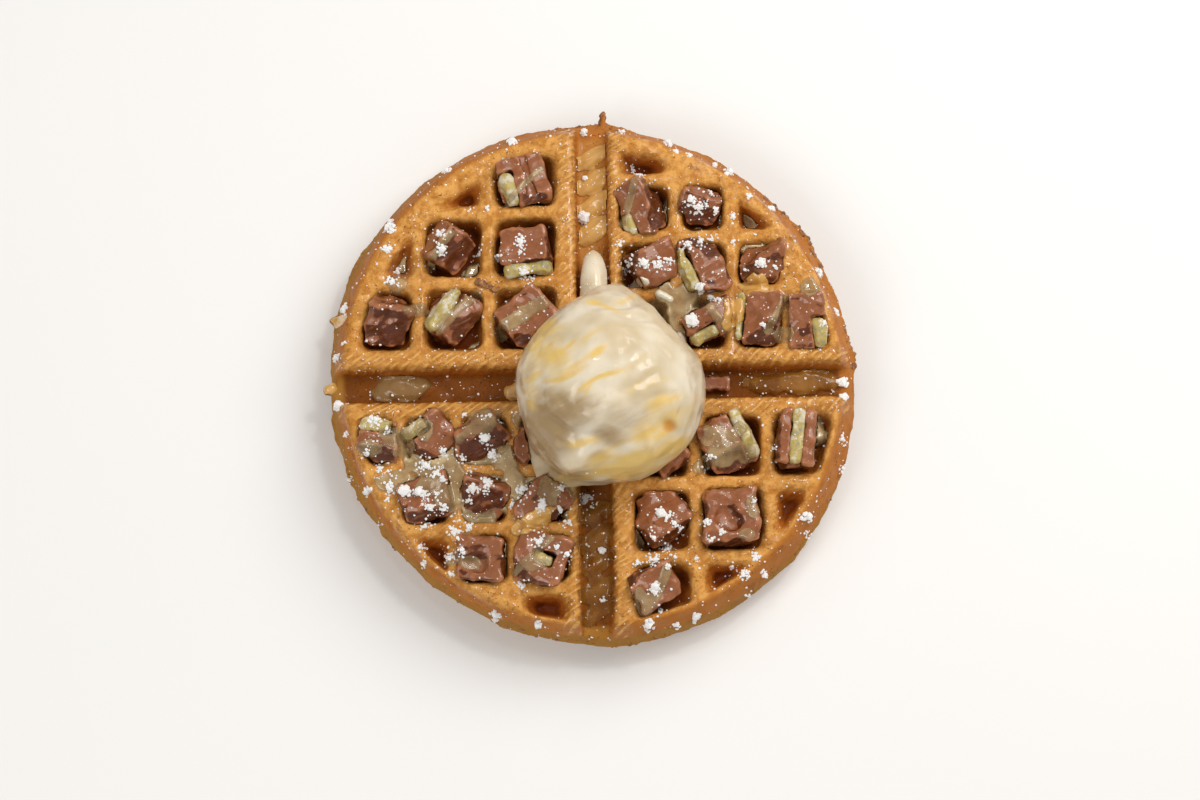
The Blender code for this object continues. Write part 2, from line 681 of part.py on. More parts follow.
def build():
    clear_scene()
    finishes = {
        "waffle": material("waffle", (0.50, 0.23, 0.055), 0.45, 0.2),
        "ice_cream": material("ice_cream", (0.86, 0.78, 0.60), 0.35, 0.3),
        "chocolate": material("chocolate", (0.16, 0.062, 0.035), 0.38, 0.2),
        "filling": material("filling", (0.62, 0.60, 0.36), 0.5),
    }
    outlines = pockets()
    waffle = plate()
    for from_top in (True, False):
        combine(waffle, "DIFFERENCE", pocket_cutter(outlines, from_top))
        combine(waffle, "DIFFERENCE", channel_cutter(from_top))
    draw = Random(41)
    fuse(waffle, sauce_and_flash() + rim_sugar(waffle, draw))
    finish(waffle, finishes["waffle"])
    finish(ice_cream(), finishes["ice_cream"], 80)
    for number, row in enumerate(CHUNKS, start=1):
        chocolate(number, row, outlines, finishes)
    chip(finishes)


build()
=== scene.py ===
import json
import math
import random

import bpy
import numpy as np
from mathutils import Matrix, Vector
from mathutils.bvhtree import BVHTree

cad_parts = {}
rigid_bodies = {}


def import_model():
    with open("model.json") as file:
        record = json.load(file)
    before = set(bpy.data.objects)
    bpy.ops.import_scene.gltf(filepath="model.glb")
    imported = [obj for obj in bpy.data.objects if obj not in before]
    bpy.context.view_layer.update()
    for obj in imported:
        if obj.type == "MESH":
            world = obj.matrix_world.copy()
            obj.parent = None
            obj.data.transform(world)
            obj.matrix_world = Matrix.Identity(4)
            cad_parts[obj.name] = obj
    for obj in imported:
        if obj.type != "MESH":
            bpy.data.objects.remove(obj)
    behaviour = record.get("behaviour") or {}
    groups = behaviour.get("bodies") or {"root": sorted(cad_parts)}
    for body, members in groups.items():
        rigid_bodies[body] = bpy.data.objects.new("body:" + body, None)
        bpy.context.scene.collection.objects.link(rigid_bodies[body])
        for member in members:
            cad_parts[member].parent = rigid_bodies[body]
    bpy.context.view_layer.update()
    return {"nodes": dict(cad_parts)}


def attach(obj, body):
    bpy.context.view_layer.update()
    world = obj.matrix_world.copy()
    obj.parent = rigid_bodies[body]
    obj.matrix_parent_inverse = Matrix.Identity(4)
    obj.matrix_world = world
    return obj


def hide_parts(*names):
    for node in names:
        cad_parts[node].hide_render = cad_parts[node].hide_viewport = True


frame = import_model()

# The table and the light. The waffle lies on a plain pale floor under one large soft lamp on the upper
# right, a weaker one on the lower left and two small ones for the glints, in pale surroundings, and the
# camera looks down on it from ten degrees off upright.
MM = 0.001
TILT = math.radians(10)
ROLL = math.radians(-0.9)
EYE = Vector((2.815, -157.907, 863.781)) * MM
LENS = 76.5
SENSOR = 36

lens = bpy.data.cameras.new("camera")
lens.lens = LENS
lens.sensor_width = SENSOR
camera = bpy.data.objects.new("camera", lens)
bpy.context.collection.objects.link(camera)
camera.matrix_world = Matrix.Translation(EYE) @ Matrix.Rotation(TILT, 4, "X") @ Matrix.Rotation(ROLL, 4, "Z")
bpy.context.scene.camera = camera
bpy.context.scene.view_settings.view_transform = "Standard"

surroundings = bpy.data.worlds.new("surroundings")
surroundings.use_nodes = True
backdrop = surroundings.node_tree.nodes["Background"]
backdrop.inputs["Color"].default_value = (1.0, 0.97, 0.93, 1)
backdrop.inputs["Strength"].default_value = 0.38
bpy.context.scene.world = surroundings

# name, place in metres, side of the lamp in metres, watts, colour
LAMPS = (
    ("lamp_right", (0.55, 0.48, 0.85), 0.80, 8.0, (1.0, 0.975, 0.94)),
    ("lamp_left", (-0.50, -0.42, 0.80), 0.45, 2.6, (1.0, 0.985, 0.96)),
    ("glint_right", (0.30, 0.30, 0.90), 0.07, 0.9, (1.0, 0.98, 0.95)),
    ("glint_top", (-0.10, 0.30, 1.05), 0.035, 0.3, (1.0, 0.98, 0.95)),
)
AIM = Vector((0, 0, 0.02))
for lamp_name, lamp_place, lamp_side, watts, lamp_colour in LAMPS:
    light = bpy.data.lights.new(lamp_name, "AREA")
    light.size = lamp_side
    light.energy = watts
    light.color = lamp_colour
    lamp = bpy.data.objects.new(lamp_name, light)
    bpy.context.collection.objects.link(lamp)
    way = (AIM - Vector(lamp_place)).to_track_quat("-Z", "Y")
    lamp.matrix_world = Matrix.Translation(lamp_place) @ way.to_matrix().to_4x4()


class Signal:
    """A value that changes over a surface: sums written on it in Python add the Math nodes for them."""

    def __init__(self, finish, socket):
        self.finish = finish
        self.socket = socket

    def math(self, operation, *terms):
        return self.finish.node("ShaderNodeMath", {"operation": operation}, dict(enumerate(terms)))

    def __add__(self, other):
        return self.math("ADD", self, other)

    def __sub__(self, other):
        return self.math("SUBTRACT", self, other)

    def __rsub__(self, other):
        return self.math("SUBTRACT", other, self)

    def __mul__(self, other):
        return self.math("MULTIPLY", self, other)

    def __abs__(self):
        return self.math("ABSOLUTE", self)

    def sine(self):
        return self.math("SINE", self)

    __radd__ = __add__
    __rmul__ = __mul__


class Finish:
    """One material, built up from nodes. Its lengths are in millimetres on the object's own coordinates."""

    def __init__(self, name, **constants):
        self.material = bpy.data.materials.new(name)
        self.material.use_nodes = True
        self.tree = self.material.node_tree
        self.shader = self.tree.nodes["Principled BSDF"]
        for socket, value in constants.items():
            self.shader.inputs[socket.replace("_", " ")].default_value = value
        self.place = None

    def node(self, kind, settings=None, values=None, output=0):
        made = self.tree.nodes.new(kind)
        for name, value in (settings or {}).items():
            setattr(made, name, value)
        for name, value in (values or {}).items():
            if isinstance(value, Signal):
                self.tree.links.new(value.socket, made.inputs[name])
            else:
                made.inputs[name].default_value = value
        return Signal(self, made.outputs[output])

    def vector(self, operation, *terms, output=0):
        return self.node("ShaderNodeVectorMath", {"operation": operation}, dict(enumerate(terms)), output)

    def spot(self, turn=0.0, stretch=(1, 1, 1)):
        """The place on the piece, in millimetres. With a turn and stretch, a pattern's marks lie along that
        direction and are that much longer along it, across it and upwards."""
        if self.place is None:
            place = self.node("ShaderNodeTexCoord", output=3)
            self.place = self.vector("MULTIPLY", place, (1 / MM,) * 3)
        if turn == 0.0 and stretch == (1, 1, 1):
            return self.place
        values = {"Vector": self.place, "Rotation": (0, 0, math.radians(turn)), "Scale": stretch}
        return self.node("ShaderNodeMapping", {"vector_type": "TEXTURE"}, values)

    def axes(self, place):
        return [self.node("ShaderNodeSeparateXYZ", {}, {0: place}, output) for output in range(3)]

    def noise(self, size, detail=2.0, where=None, roughness=0.5):
        """Cloudy values from 0 to 1, with features of one size."""
        where = where or self.spot()
        values = {"Vector": where, "Scale": 1 / size, "Detail": detail, "Roughness": roughness}
        return self.node("ShaderNodeTexNoise", {}, values)

    def rise(self, value, low, high):
        """0 up to low, 1 from high on, and a soft step between them."""
        values = {"Value": value, "From Min": low, "From Max": high}
        return self.node("ShaderNodeMapRange", {"interpolation_type": "SMOOTHSTEP"}, values)

    def mix(self, share, under, over):
        values = {0: share, 6: under, 7: over}
        return self.node("ShaderNodeMix", {"data_type": "RGBA"}, values, 2)

    def stored(self, name):
        return self.node("ShaderNodeAttribute", {"attribute_name": name}, {}, 2)

    def surface(self, relief=None, height=0.0, **values):
        """Links what changes over the surface, and the relief, in millimetres high, to the bump."""
        for socket, value in values.items():
            self.tree.links.new(value.socket, self.shader.inputs[socket.replace("_", " ")])
        if relief is not None:
            values = {"Height": relief, "Distance": height * MM, "Strength": 1.0}
            bump = self.node("ShaderNodeBump", {}, values)
            self.tree.links.new(bump.socket, self.shader.inputs["Normal"])


def paint(red, green, blue):
    return (red, green, blue, 1.0)


bpy.ops.object.select_all(action="DESELECT")
bpy.ops.mesh.primitive_grid_add(x_subdivisions=2, y_subdivisions=2, size=6.0, location=(0, 0, -0.0002))
floor = bpy.context.object
floor.name = "table"
bpy.ops.object.transform_apply(location=True, rotation=True, scale=True)
table = Finish("pale_table", Roughness=0.85, Specular_IOR_Level=0.2)
haze = table.noise(260.0)
table.surface(Base_Color=table.mix(haze, paint(0.90, 0.90, 0.90), paint(0.94, 0.94, 0.935)))
floor.data.materials.append(table.material)

# The waffle. A thick round of batter baked in a deep four-quarter iron: golden ridges, walls that go
# orange and pocket floors that are toasted red-brown and painted darker still as shade in the pockets, on
# both faces, with a paler outer slope above the seam of the iron and an olive-brown one below it.
SEAM = 14.0
PLATE = (0.2, -1.9)
CROSS = (1.0, -4.5)
CHANNEL = 6.1
WAFFLE_TRIANGLES = 188000


def alone(piece):
    bpy.ops.object.select_all(action="DESELECT")
    piece.select_set(True)
    bpy.context.view_layer.objects.active = piece


def copy_of(node, name):
    """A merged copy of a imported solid, to be worked up as the piece that shows."""
    piece = bpy.data.objects.new(name, frame["nodes"][node].data.copy())
    bpy.context.collection.objects.link(piece)
    piece.data.materials.clear()
    alone(piece)
    bpy.ops.object.mode_set(mode="EDIT")
    bpy.ops.mesh.select_all(action="SELECT")
    bpy.ops.mesh.remove_doubles(threshold=0.02 * MM)
    bpy.ops.object.mode_set(mode="OBJECT")
    return piece


def modify(piece, kind, **settings):
    alone(piece)
    step = piece.modifiers.new(kind.lower(), kind)
    for name, value in settings.items():
        setattr(step, name, value)
    bpy.ops.object.modifier_apply(modifier=step.name)


def thin_out(piece, most):
    share = most / sum(len(face.vertices) - 2 for face in piece.data.polygons)
    if share < 1:
        modify(piece, "DECIMATE", ratio=share)


def rough_up(piece, size, strength, kind="CLOUDS"):
    """Uneven swells of one size, in millimetres, pushed out and in along the normals."""
    swell = bpy.data.textures.new(f"swell_{size}", kind)
    swell.noise_scale = size * MM
    modify(piece, "DISPLACE", texture=swell, strength=strength * MM, mid_level=0.5, texture_coords="LOCAL")


def vertex_table(piece):
    points = np.empty(len(piece.data.vertices) * 3)
    piece.data.vertices.foreach_get("co", points)
    return points.reshape(-1, 3) / MM


def facing(piece):
    normals = np.empty(len(piece.data.vertices) * 3)
    piece.data.vertices.foreach_get("normal", normals)
    return normals.reshape(-1, 3)


def move_vertices(piece, points):
    piece.data.vertices.foreach_set("co", (points * MM).ravel())
    piece.data.update()


def store(piece, name, values):
    note = piece.data.attributes.new(name, "FLOAT", "POINT")
    note.data.foreach_set("value", values.astype(np.float32))


def soft_step(values, low, high):
    share = np.clip((values - low) / (high - low), 0, 1)
    return share * share * (3 - 2 * share)


def all_smooth(piece):
    piece.data.polygons.foreach_set("use_smooth", [True] * len(piece.data.polygons))


waffle = copy_of("waffle", "baked_waffle")
modify(waffle, "REMESH", mode="VOXEL", voxel_size=0.68 * MM)
modify(waffle, "SMOOTH", factor=0.5, iterations=8)
rough_up(waffle, 9.0, 1.3)
rough_up(waffle, 2.6, 0.45)
thin_out(waffle, WAFFLE_TRIANGLES)

# Fine ropes of caramel run slantwise over the ridges beside the four channels.
ROPE_TURN = 36
ROPE_PITCH = 2.1
ROPE_HEIGHT = 0.32
ROPE_SWAYS = ((1.5, 0.10, 0.04), (0.4, 0.26, 0.31), (0.5, 0.0, 0.43))
points = vertex_table(waffle)
from_plate = points[:, :2] - PLATE
out = np.hypot(*from_plate.T)
turn = math.radians(ROPE_TURN)
across = -points[:, 0] * math.sin(turn) + points[:, 1] * math.cos(turn)
along = points[:, 0] * math.cos(turn) + points[:, 1] * math.sin(turn)
sway = sum(far * np.sin(along * by_length + across * by_width) for far, by_length, by_width in ROPE_SWAYS)
rope = 0.5 + 0.5 * np.sin(2 * math.pi * (across + sway) / ROPE_PITCH)
from_cross = np.minimum(abs(points[:, 0] - CROSS[0]), abs(points[:, 1] - CROSS[1]))
beside = soft_step(from_cross, 13.5, 9.5) * soft_step(from_cross, 4.0, 6.5)
upper = soft_step(points[:, 2], 18.0, 21.0)
patches = soft_step(np.sin(points[:, 0] * 0.075 + 1.0) + np.sin(points[:, 1] * 0.085 - 0.6), -0.9, 0.6)
inner = soft_step(out, 82.0, 76.0)
roping = upper * np.maximum(beside, 0.5 * patches * inner)
points = points + facing(waffle) * (rope * roping * ROPE_HEIGHT)[:, None]

# The batter that was pressed out along the seam has baked to a thin ragged fringe, longest in two places.
FRINGE = 0.9
FRINGE_TEETH = ((23, 0.7), (67, 0.8), (181, 0.7))
FRINGE_PLACES = ((225, 38), (36, 18))
from_plate = points[:, :2] - PLATE
around = np.arctan2(from_plate[:, 1], from_plate[:, 0])
out = np.hypot(*from_plate.T)
chance = np.random.default_rng(5)
ragged = np.zeros(len(points))
for teeth, share in FRINGE_TEETH:
    marks = chance.uniform(-1, 1, teeth)
    corners = np.linspace(0, 2 * math.pi, teeth + 1)
    ragged += share * np.interp(around + math.pi, corners, np.append(marks, marks[0]))
thin = soft_step(out, 86.6, 88.2) * soft_step(abs(points[:, 2] - SEAM), 2.6, 1.0)
place = np.degrees(around) % 360
fullest = np.max([np.exp(-((place - middle) / width) ** 2) for middle, width in FRINGE_PLACES], axis=0)
short = thin * (0.25 + 0.75 * fullest) * (0.5 - ragged) * FRINGE
points[:, :2] -= np.column_stack((np.cos(around), np.sin(around))) * short[:, None]
points[:, 2] = np.maximum(points[:, 2], 0.0)
move_vertices(waffle, points)
store(waffle, "roping", roping)
all_smooth(waffle)

crust = Finish("waffle_crust", Coat_Roughness=0.10, Coat_IOR=1.4, Specular_IOR_Level=0.08)
x, y, z = crust.axes(crust.spot())
mottle = crust.noise(11.0, 3.0)
grainy = crust.noise(1.7, 3.0)
level = abs(z - SEAM) + (mottle - 0.5) * 3.4 + (grainy - 0.5) * 1.2


def from_channel(finish):
    """How far a point lies from the nearer channel's middle line."""
    x, y, _ = finish.axes(finish.spot())
    return x.math("MINIMUM", abs(x - CROSS[0]), abs(y - CROSS[1]))


in_channel = 1 - crust.rise(from_channel(crust), CHANNEL - 0.2, CHANNEL + 1.6)
# pocket floors: toasted red-brown, and darker than the walls and ridges partly as painted shade of the
# pockets
toasted_and_shaded_floor = crust.mix(crust.noise(6.0), paint(0.105, 0.016, 0.003), paint(0.22, 0.046, 0.006))
amber = crust.mix(crust.noise(5.0), paint(0.14, 0.038, 0.005), paint(0.28, 0.088, 0.010))
amber = crust.mix(crust.rise(y, 18.0, 40.0), amber, paint(0.52, 0.22, 0.045))
tone = crust.mix(in_channel, toasted_and_shaded_floor, amber)
wall = crust.mix(mottle, paint(0.34, 0.088, 0.010), paint(0.50, 0.162, 0.021))
ridge = crust.rise(crust.noise(3.2, 4.0, roughness=0.7), 0.36, 0.64)
ridge = crust.mix(ridge, paint(0.51, 0.205, 0.036), paint(0.77, 0.390, 0.102))
# from floor to wall to ridge the colour lightens with height: partly the toasting, partly painted shade low
# down
tone = crust.mix(crust.rise(level, 5.0, 8.6), tone, wall)
tone = crust.mix(crust.rise(level, 9.2, 12.9), tone, ridge)
flat = crust.vector("MULTIPLY_ADD", crust.spot(), (1, 1, 0), (-PLATE[0], -PLATE[1], 0))
reach = crust.vector("LENGTH", flat, output=1)
slope = crust.rise(reach + (mottle - 0.5) * 1.6, 82.2, 84.6)
towards_left = crust.rise((x + y) * -0.7, -50.0, 50.0)
above = crust.rise(z + (grainy - 0.5) * 2.5 - towards_left * 5.5, SEAM - 0.8, SEAM + 1.6)
salmon = crust.mix(crust.noise(8.0, 3.0), paint(0.38, 0.120, 0.019), paint(0.56, 0.212, 0.038))
olive = crust.mix(crust.noise(5.0, 3.0), paint(0.30, 0.130, 0.019), paint(0.50, 0.235, 0.043))
tone = crust.mix(slope, tone, crust.mix(above, olive, salmon))
along, across, _ = crust.axes(crust.spot(ROPE_TURN, (1, 1, 1.001)))
sway = 0.35 * crust.noise(4.0)
for far, by_length, by_width in ROPE_SWAYS:
    sway = sway + (along * by_length + across * by_width).sine() * far
wave = (across + sway) * (2 * math.pi / ROPE_PITCH)
roping = crust.stored("roping")
roped = (wave.sine() * 0.5 + 0.5) * roping
tone = crust.mix(roping * 0.32, tone, paint(0.46, 0.17, 0.024))
strand = crust.rise(crust.noise(3.5, 2.0), 0.35, 0.6)
tone = crust.mix(crust.rise(roped, 0.35, 0.9) * strand * 0.7, tone, paint(0.84, 0.47, 0.125))
porous = crust.rise(crust.noise(9.0, 2.0) + crust.rise(reach, 70.0, 80.0) * 0.06, 0.50, 0.62)
pore = crust.rise(crust.noise(0.75, 2.0, roughness=0.6), 0.63, 0.72) * porous
scorch = crust.rise(crust.noise(5.0, 4.0, roughness=0.7) + crust.rise(reach, 66.0, 80.0) * 0.05, 0.62, 0.74)
tone = crust.mix(scorch * 0.55, tone, paint(0.22, 0.075, 0.012))
tone = crust.mix(pore * 0.8, tone, paint(0.15, 0.042, 0.007))
glaze = crust.rise(crust.noise(5.5, 2.0), 0.40, 0.62) * (1 - slope * 0.8)
brushed = crust.noise(1.0, 2.0, crust.spot(57, (5, 0.9, 1)))
relief = crust.noise(0.8, 3.0) * 0.8 + crust.noise(3.0, 2.0) + brushed * 0.6
crust.surface(
    Base_Color=tone,
    Roughness=0.62 - glaze * 0.2,
    Coat_Weight=(glaze * 0.6 + roping * 0.4) * (crust.rise(level, 5.0, 10.0) * 0.65 + 0.35),
    relief=relief + roped * strand * 1.2 - pore * 0.9,
    height=0.32)
waffle.data.materials.append(crust.material)
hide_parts("waffle")
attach(waffle, "root")

# The chocolate. Filled milk chocolate snapped into lumps: smooth moulded tops, painted lighter as lit where
# they face up, pale worn edges, and dark broken faces with a grain, their darkness partly painted shade,
# some of them ribbed or hollow where a block's ridge or the filling came out.
CHOCOLATE_TRIANGLES = 5200
HOLLOW = (22, 28)
# the way that each lump's dark broken face looks, in degrees in plan, by the lump's number; its dark colour
# is partly painted shade
BROKEN_AND_SHADED = {
    1: -80, 2: -15, 3: -40, 4: -75, 5: -30, 6: -75, 7: -15, 8: -120, 9: 190, 10: 60,
    11: -125, 12: -70, 13: -95, 14: -40, 15: -110, 16: -130, 17: -65, 18: -20, 19: -80, 20: -110,
    21: -60, 22: -90, 23: -140, 24: -60, 25: 180, 26: -100, 27: 20, 28: 200, 29: 150, 30: -90,
}


def note_form(piece):
    """Stores how much each point stands out from its neighbours, for worn edges, and how far it faces up."""
    points = vertex_table(piece)
    ends = np.empty(len(piece.data.edges) * 2, dtype=np.int64)
    piece.data.edges.foreach_get("vertices", ends)
    ends = ends.reshape(-1, 2)
    normals = facing(piece)
    gap = points[ends[:, 0]] - points[ends[:, 1]]
    gap = gap / np.maximum(np.linalg.norm(gap, axis=1), 1e-6)[:, None]
    bend = np.zeros(len(points))
    count = np.zeros(len(points))
    for own, sign in ((0, 1), (1, -1)):
        np.add.at(bend, ends[:, own], sign * (gap * normals[ends[:, own]]).sum(axis=1))
        np.add.at(count, ends[:, own], 1)
    bend = bend / np.maximum(count, 1)
    for _ in range(3):
        total = bend.copy()
        np.add.at(total, ends[:, 0], bend[ends[:, 1]])
        np.add.at(total, ends[:, 1], bend[ends[:, 0]])
        bend = total / (count + 1)
    store(piece, "edge", bend)
    store(piece, "up", normals[:, 2])


def worked_solid(node, name, voxel, smoothing, most, swell=1.0):
    """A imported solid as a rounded, slightly uneven piece of food, with the facets of a break."""
    piece = copy_of(node, name)
    modify(piece, "REMESH", mode="VOXEL", voxel_size=voxel * MM)
    modify(piece, "SMOOTH", factor=0.5, iterations=smoothing)
    rough_up(piece, 6.5, 2.0 * swell, "VORONOI")
    rough_up(piece, 4.0, 0.9 * swell)
    modify(piece, "SMOOTH", factor=0.5, iterations=2)
    rough_up(piece, 1.3, 0.22 * swell)
    thin_out(piece, most)
    note_form(piece)
    all_smooth(piece)
    return piece


shell = Finish("milk_chocolate", Coat_Roughness=0.08, Specular_IOR_Level=0.22)
smear = shell.noise(4.0, 3.0, shell.spot(38, (2.2, 0.8, 1)))
melt = shell.noise(2.2, 3.0)
# painted light and shade: faces that look up are painted lighter, and the faces turned the listed way darker
painted_light_on_tops = shell.rise(shell.stored("up"), 0.35, 0.85)
brown = shell.mix(melt, paint(0.225, 0.070, 0.023), paint(0.340, 0.116, 0.042))
dark = shell.mix(melt, paint(0.060, 0.012, 0.003), paint(0.150, 0.036, 0.009))
coat = shell.mix(shell.rise(smear + painted_light_on_tops * 0.5 - shell.stored("broken_and_shaded") * 0.75, 0.48, 0.78), dark, brown)
worn = shell.rise(shell.stored("edge") + (melt - 0.5) * 0.06, 0.05, 0.13)
streak = shell.rise(shell.noise(1.5, 2.0, shell.spot(30, (4, 0.8, 1))), 0.56, 0.68)
coat = shell.mix(streak * 0.35, coat, paint(0.40, 0.16, 0.075))
coat = shell.mix(worn * 0.85, coat, paint(0.46, 0.175, 0.075))
shell.surface(
    Base_Color=coat,
    Roughness=0.34 + melt * 0.28,
    Coat_Weight=shell.rise(smear, 0.30, 0.58) * 0.8 + 0.1,
    relief=shell.noise(0.8, 3.0) * 0.5 + shell.noise(2.0, 2.0, shell.spot(40, (2.5, 0.7, 1))),
    height=0.28)

for number, way in BROKEN_AND_SHADED.items():
    smoothing, swell = (14, 1.2) if number in HOLLOW else (3, 1.0)
    node = f"chocolate_{number:02d}"
    lump = worked_solid(node, f"chocolate_lump_{number:02d}", 0.42, smoothing, CHOCOLATE_TRIANGLES, swell)
    way = math.radians(way)
    # the faces turned this way take the dark colour: a broken face, partly painted shade
    store(lump, "broken_and_shaded", soft_step(facing(lump) @ (math.cos(way), math.sin(way), -0.1), 0.15, 0.45))
    lump.data.materials.append(shell.material)
    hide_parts(f"chocolate_{number:02d}")
    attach(lump, "root")

# The filling. Soft fondant cream, greenish yellow marbled with grey-white. It was poured inside the
# chocolate's shell, and shows as a soft bar where a lump broke.
FILLED = (1, 2, 5, 7, 10, 12, 13, 14, 15, 16, 23, 24, 25)
FILLING_TRIANGLES = 2400

cream = Finish("fondant_filling", Coat_Roughness=0.15, Subsurface_Weight=0.15, Subsurface_Scale=0.002)
vein = cream.noise(3.0, 3.0)
curd = cream.mix(cream.rise(vein, 0.30, 0.44), paint(0.33, 0.30, 0.18), paint(0.50, 0.38, 0.11))
curd = cream.mix(cream.rise(vein, 0.50, 0.60), curd, paint(0.64, 0.58, 0.41))
cream.surface(
    Base_Color=curd,
    Roughness=0.42 + vein * 0.2,
    Coat_Weight=cream.rise(cream.noise(2.0), 0.4, 0.6) * 0.6,
    relief=cream.noise(1.0, 3.0),
    height=0.35)
for number in FILLED:
    node = f"filling_{number:02d}"
    bar = worked_solid(node, f"filling_bar_{number:02d}", 0.36, 22, FILLING_TRIANGLES, 1.1)
    bar.data.materials.append(cream.material)
    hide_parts(f"filling_{number:02d}")
    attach(bar, "root")

# The ice cream. One large scoop of vanilla, half melted, so that its folds have gone round and glossy,
# with caramel worked through it and a thin glaze of syrup that gathers at its lower edge; the syrup's
# grey-brown is partly painted shade on the lower left, away from the lamps.
SCOOP = (6.6, -8.9, 43.0)
SCOOP_TRIANGLES = 90000
# place across and up the scoop as it is seen, half sizes, turn, height, all in mm and degrees
FOLDS = (
    (-24, 0, 3.0, 10, 10, -1.3), (-16, -12, 14, 2.2, -24, -1.6), (-12.6, -23.5, 4.4, 3.4, -12, 2.8),
    (18.3, -12.8, 2.4, 2.2, 0, -1.5), (12, 2, 6, 2.0, 20, -0.7), (4, 27, 12, 1.6, 8, -1.2),
    (8, 22, 10, 1.5, -12, -0.9), (14, 16, 5, 1.3, -48, -0.5), (17, 10, 6, 1.3, -50, -0.5),
    (20, 4, 6, 1.5, -62, -0.4), (-4, -8, 9, 5, 12, 0.9), (8, -20, 8, 6, 20, 1.0),
    (-20, 14, 6, 1.8, 40, -0.8), (-16, 2.5, 8, 1.4, 22, -0.5), (-3, 3, 9, 1.4, 26, -0.4),
    (6, 9, 8, 2.4, 35, 0.8), (14, -4, 7, 1.2, 15, -0.7), (3, -14, 8, 2.0, 38, -0.5),
    (22, -8, 1.6, 7, -10, -0.8), (11, -17, 1.4, 6, -8, 0.8), (-22, -9, 3, 8, -20, 1.0),
    (-9, 20, 7, 1.6, 48, -0.4),
)
# the same places and sizes, and how strongly the caramel or the syrup shows there; the syrup's marks are
# partly painted shade
SWIRLS = (
    (-22, 19, 7, 2.4, 45, 0.9), (-20, 10, 8, 4.6, 20, 1.0), (-15, 3.4, 9, 1.3, 21, 1.0),
    (-4.8, 10, 4.4, 1.4, 35, 0.9), (-3, 2.6, 9.5, 0.9, 27, 0.9), (-7, -1, 3.5, 0.9, 40, 0.7),
    (-26.6, -5, 2.2, 4, 0, 0.7), (-10, -17.5, 8, 2.0, 0, 0.9), (7, -26, 17, 5.0, 8, 1.0),
    (17, -11, 7, 7, 0, 0.75), (18, -21, 10, 5, 30, 1.0), (-2.6, 25.8, 6, 1.2, -15, 0.9),
    (6, 29, 6, 1.2, 20, 0.7), (10, 1.5, 8, 0.9, 30, 0.6), (19, -1, 5, 0.9, 10, 0.5),
    (-13, 14, 6, 1.0, 30, 0.7), (-21, 15, 10, 7, 45, 0.75), (-25, 4, 5, 9, 0, 0.6), (17, -6, 9, 9, 0, 0.62),
    (4, -25, 20, 6, 5, 1.0), (-14, 6, 10, 3, 22, 0.6), (2, 5, 12, 2.2, 28, 0.45), (-6, 16, 7, 1.6, 40, 0.5),
    (13, -16, 9, 6, 30, 0.8),
)
# the syrup: a thin glaze, and partly painted shade on the lower left away from the lamps
SYRUPS_AND_SHADE = (
    (-15, -6, 12, 6, -20, 0.8), (4, -9, 12, 6, -15, 0.45), (-21, -14, 11, 13, 0, 1.0),
    (-9, -9, 8, 5, 20, 0.6), (-1, -16, 8, 4, 20, 0.7), (-27, 4, 3, 8, -10, 0.6), (-5, -24, 4, 4, 0, 0.8),
    (12, -15, 8, 4, 0, 0.3), (-16, -28, 10, 4, 0, 0.9), (26, 8, 2.5, 9, 20, 0.5), (24, 19, 2.5, 7, 45, 0.6),
)
BUMP = (-12.6, -23.5, 4.6, 3.6, -12, 1.0)
DIMPLE = (18.3, -12.8, 2.2, 2.0, 0, 1.0)
WRINKLED = (12, 17, 16, 12, -30, 1.0)


def as_seen(points):
    """Places across and up the scoop as the camera sees it, in mm from its middle, and the same, wavy."""
    across = points[:, 0] - SCOOP[0]
    up = (points[:, 1] - SCOOP[1]) * math.cos(TILT) + (points[:, 2] - SCOOP[2]) * math.sin(TILT)
    return (across, up), (across + 0.8 * np.sin(up * 0.45 + 1), up + 0.8 * np.sin(across * 0.33))


def mark(place, middle_x, middle_y, half_x, half_y, turn, strength, sharp=1.0):
    """One soft oval mark over the scoop as it is seen from the camera's side."""
    across, up = place
    turn = math.radians(turn)
    away_x = (across - middle_x) * math.cos(turn) + (up - middle_y) * math.sin(turn)
    away_y = (up - middle_y) * math.cos(turn) - (across - middle_x) * math.sin(turn)
    return strength * np.exp(-((away_x / half_x) ** 2 + (away_y / half_y) ** 2) ** sharp)


scoop = copy_of("ice_cream", "ice_cream_scoop")
modify(scoop, "REMESH", mode="VOXEL", voxel_size=0.62 * MM)
modify(scoop, "SMOOTH", factor=0.5, iterations=22)
rough_up(scoop, 11.0, 1.5)
rough_up(scoop, 5.0, 0.25)
points = vertex_table(scoop)
normals = facing(scoop)
_, wavy = as_seen(points)
raised = sum(mark(wavy, *fold) for fold in FOLDS)
raised *= soft_step(normals[:, 2], -0.1, 0.3) * soft_step(points[:, 2], 29.0, 34.0)
raised += 0.9 * soft_step(points[:, 1], 21.0, 25.0)
points = points + normals * raised[:, None]
move_vertices(scoop, points)
modify(scoop, "SMOOTH", factor=0.5, iterations=3)
thin_out(scoop, SCOOP_TRIANGLES)
seen, wavy = as_seen(vertex_table(scoop))
store(scoop, "caramel", np.max([mark(wavy, *swirl, sharp=1.1) for swirl in SWIRLS], axis=0))
# the syrup marks, which also carry painted shade
store(scoop, "syrup", np.max([mark(wavy, *run, sharp=1.1) for run in SYRUPS_AND_SHADE], axis=0))
store(scoop, "bump", mark(seen, *BUMP, sharp=1.8))
store(scoop, "wrinkled", mark(seen, *WRINKLED))
store(scoop, "dimple", mark(seen, *DIMPLE, sharp=2.0))
all_smooth(scoop)

ice = Finish(
    "vanilla_ice_cream", Coat_Roughness=0.10, Specular_IOR_Level=0.4,
    Subsurface_Weight=0.2, Subsurface_Scale=0.003, Subsurface_Radius=(1.0, 0.7, 0.45))
from_middle = ice.vector("SUBTRACT", ice.spot(), SCOOP)
_, beyond, above = ice.axes(from_middle)
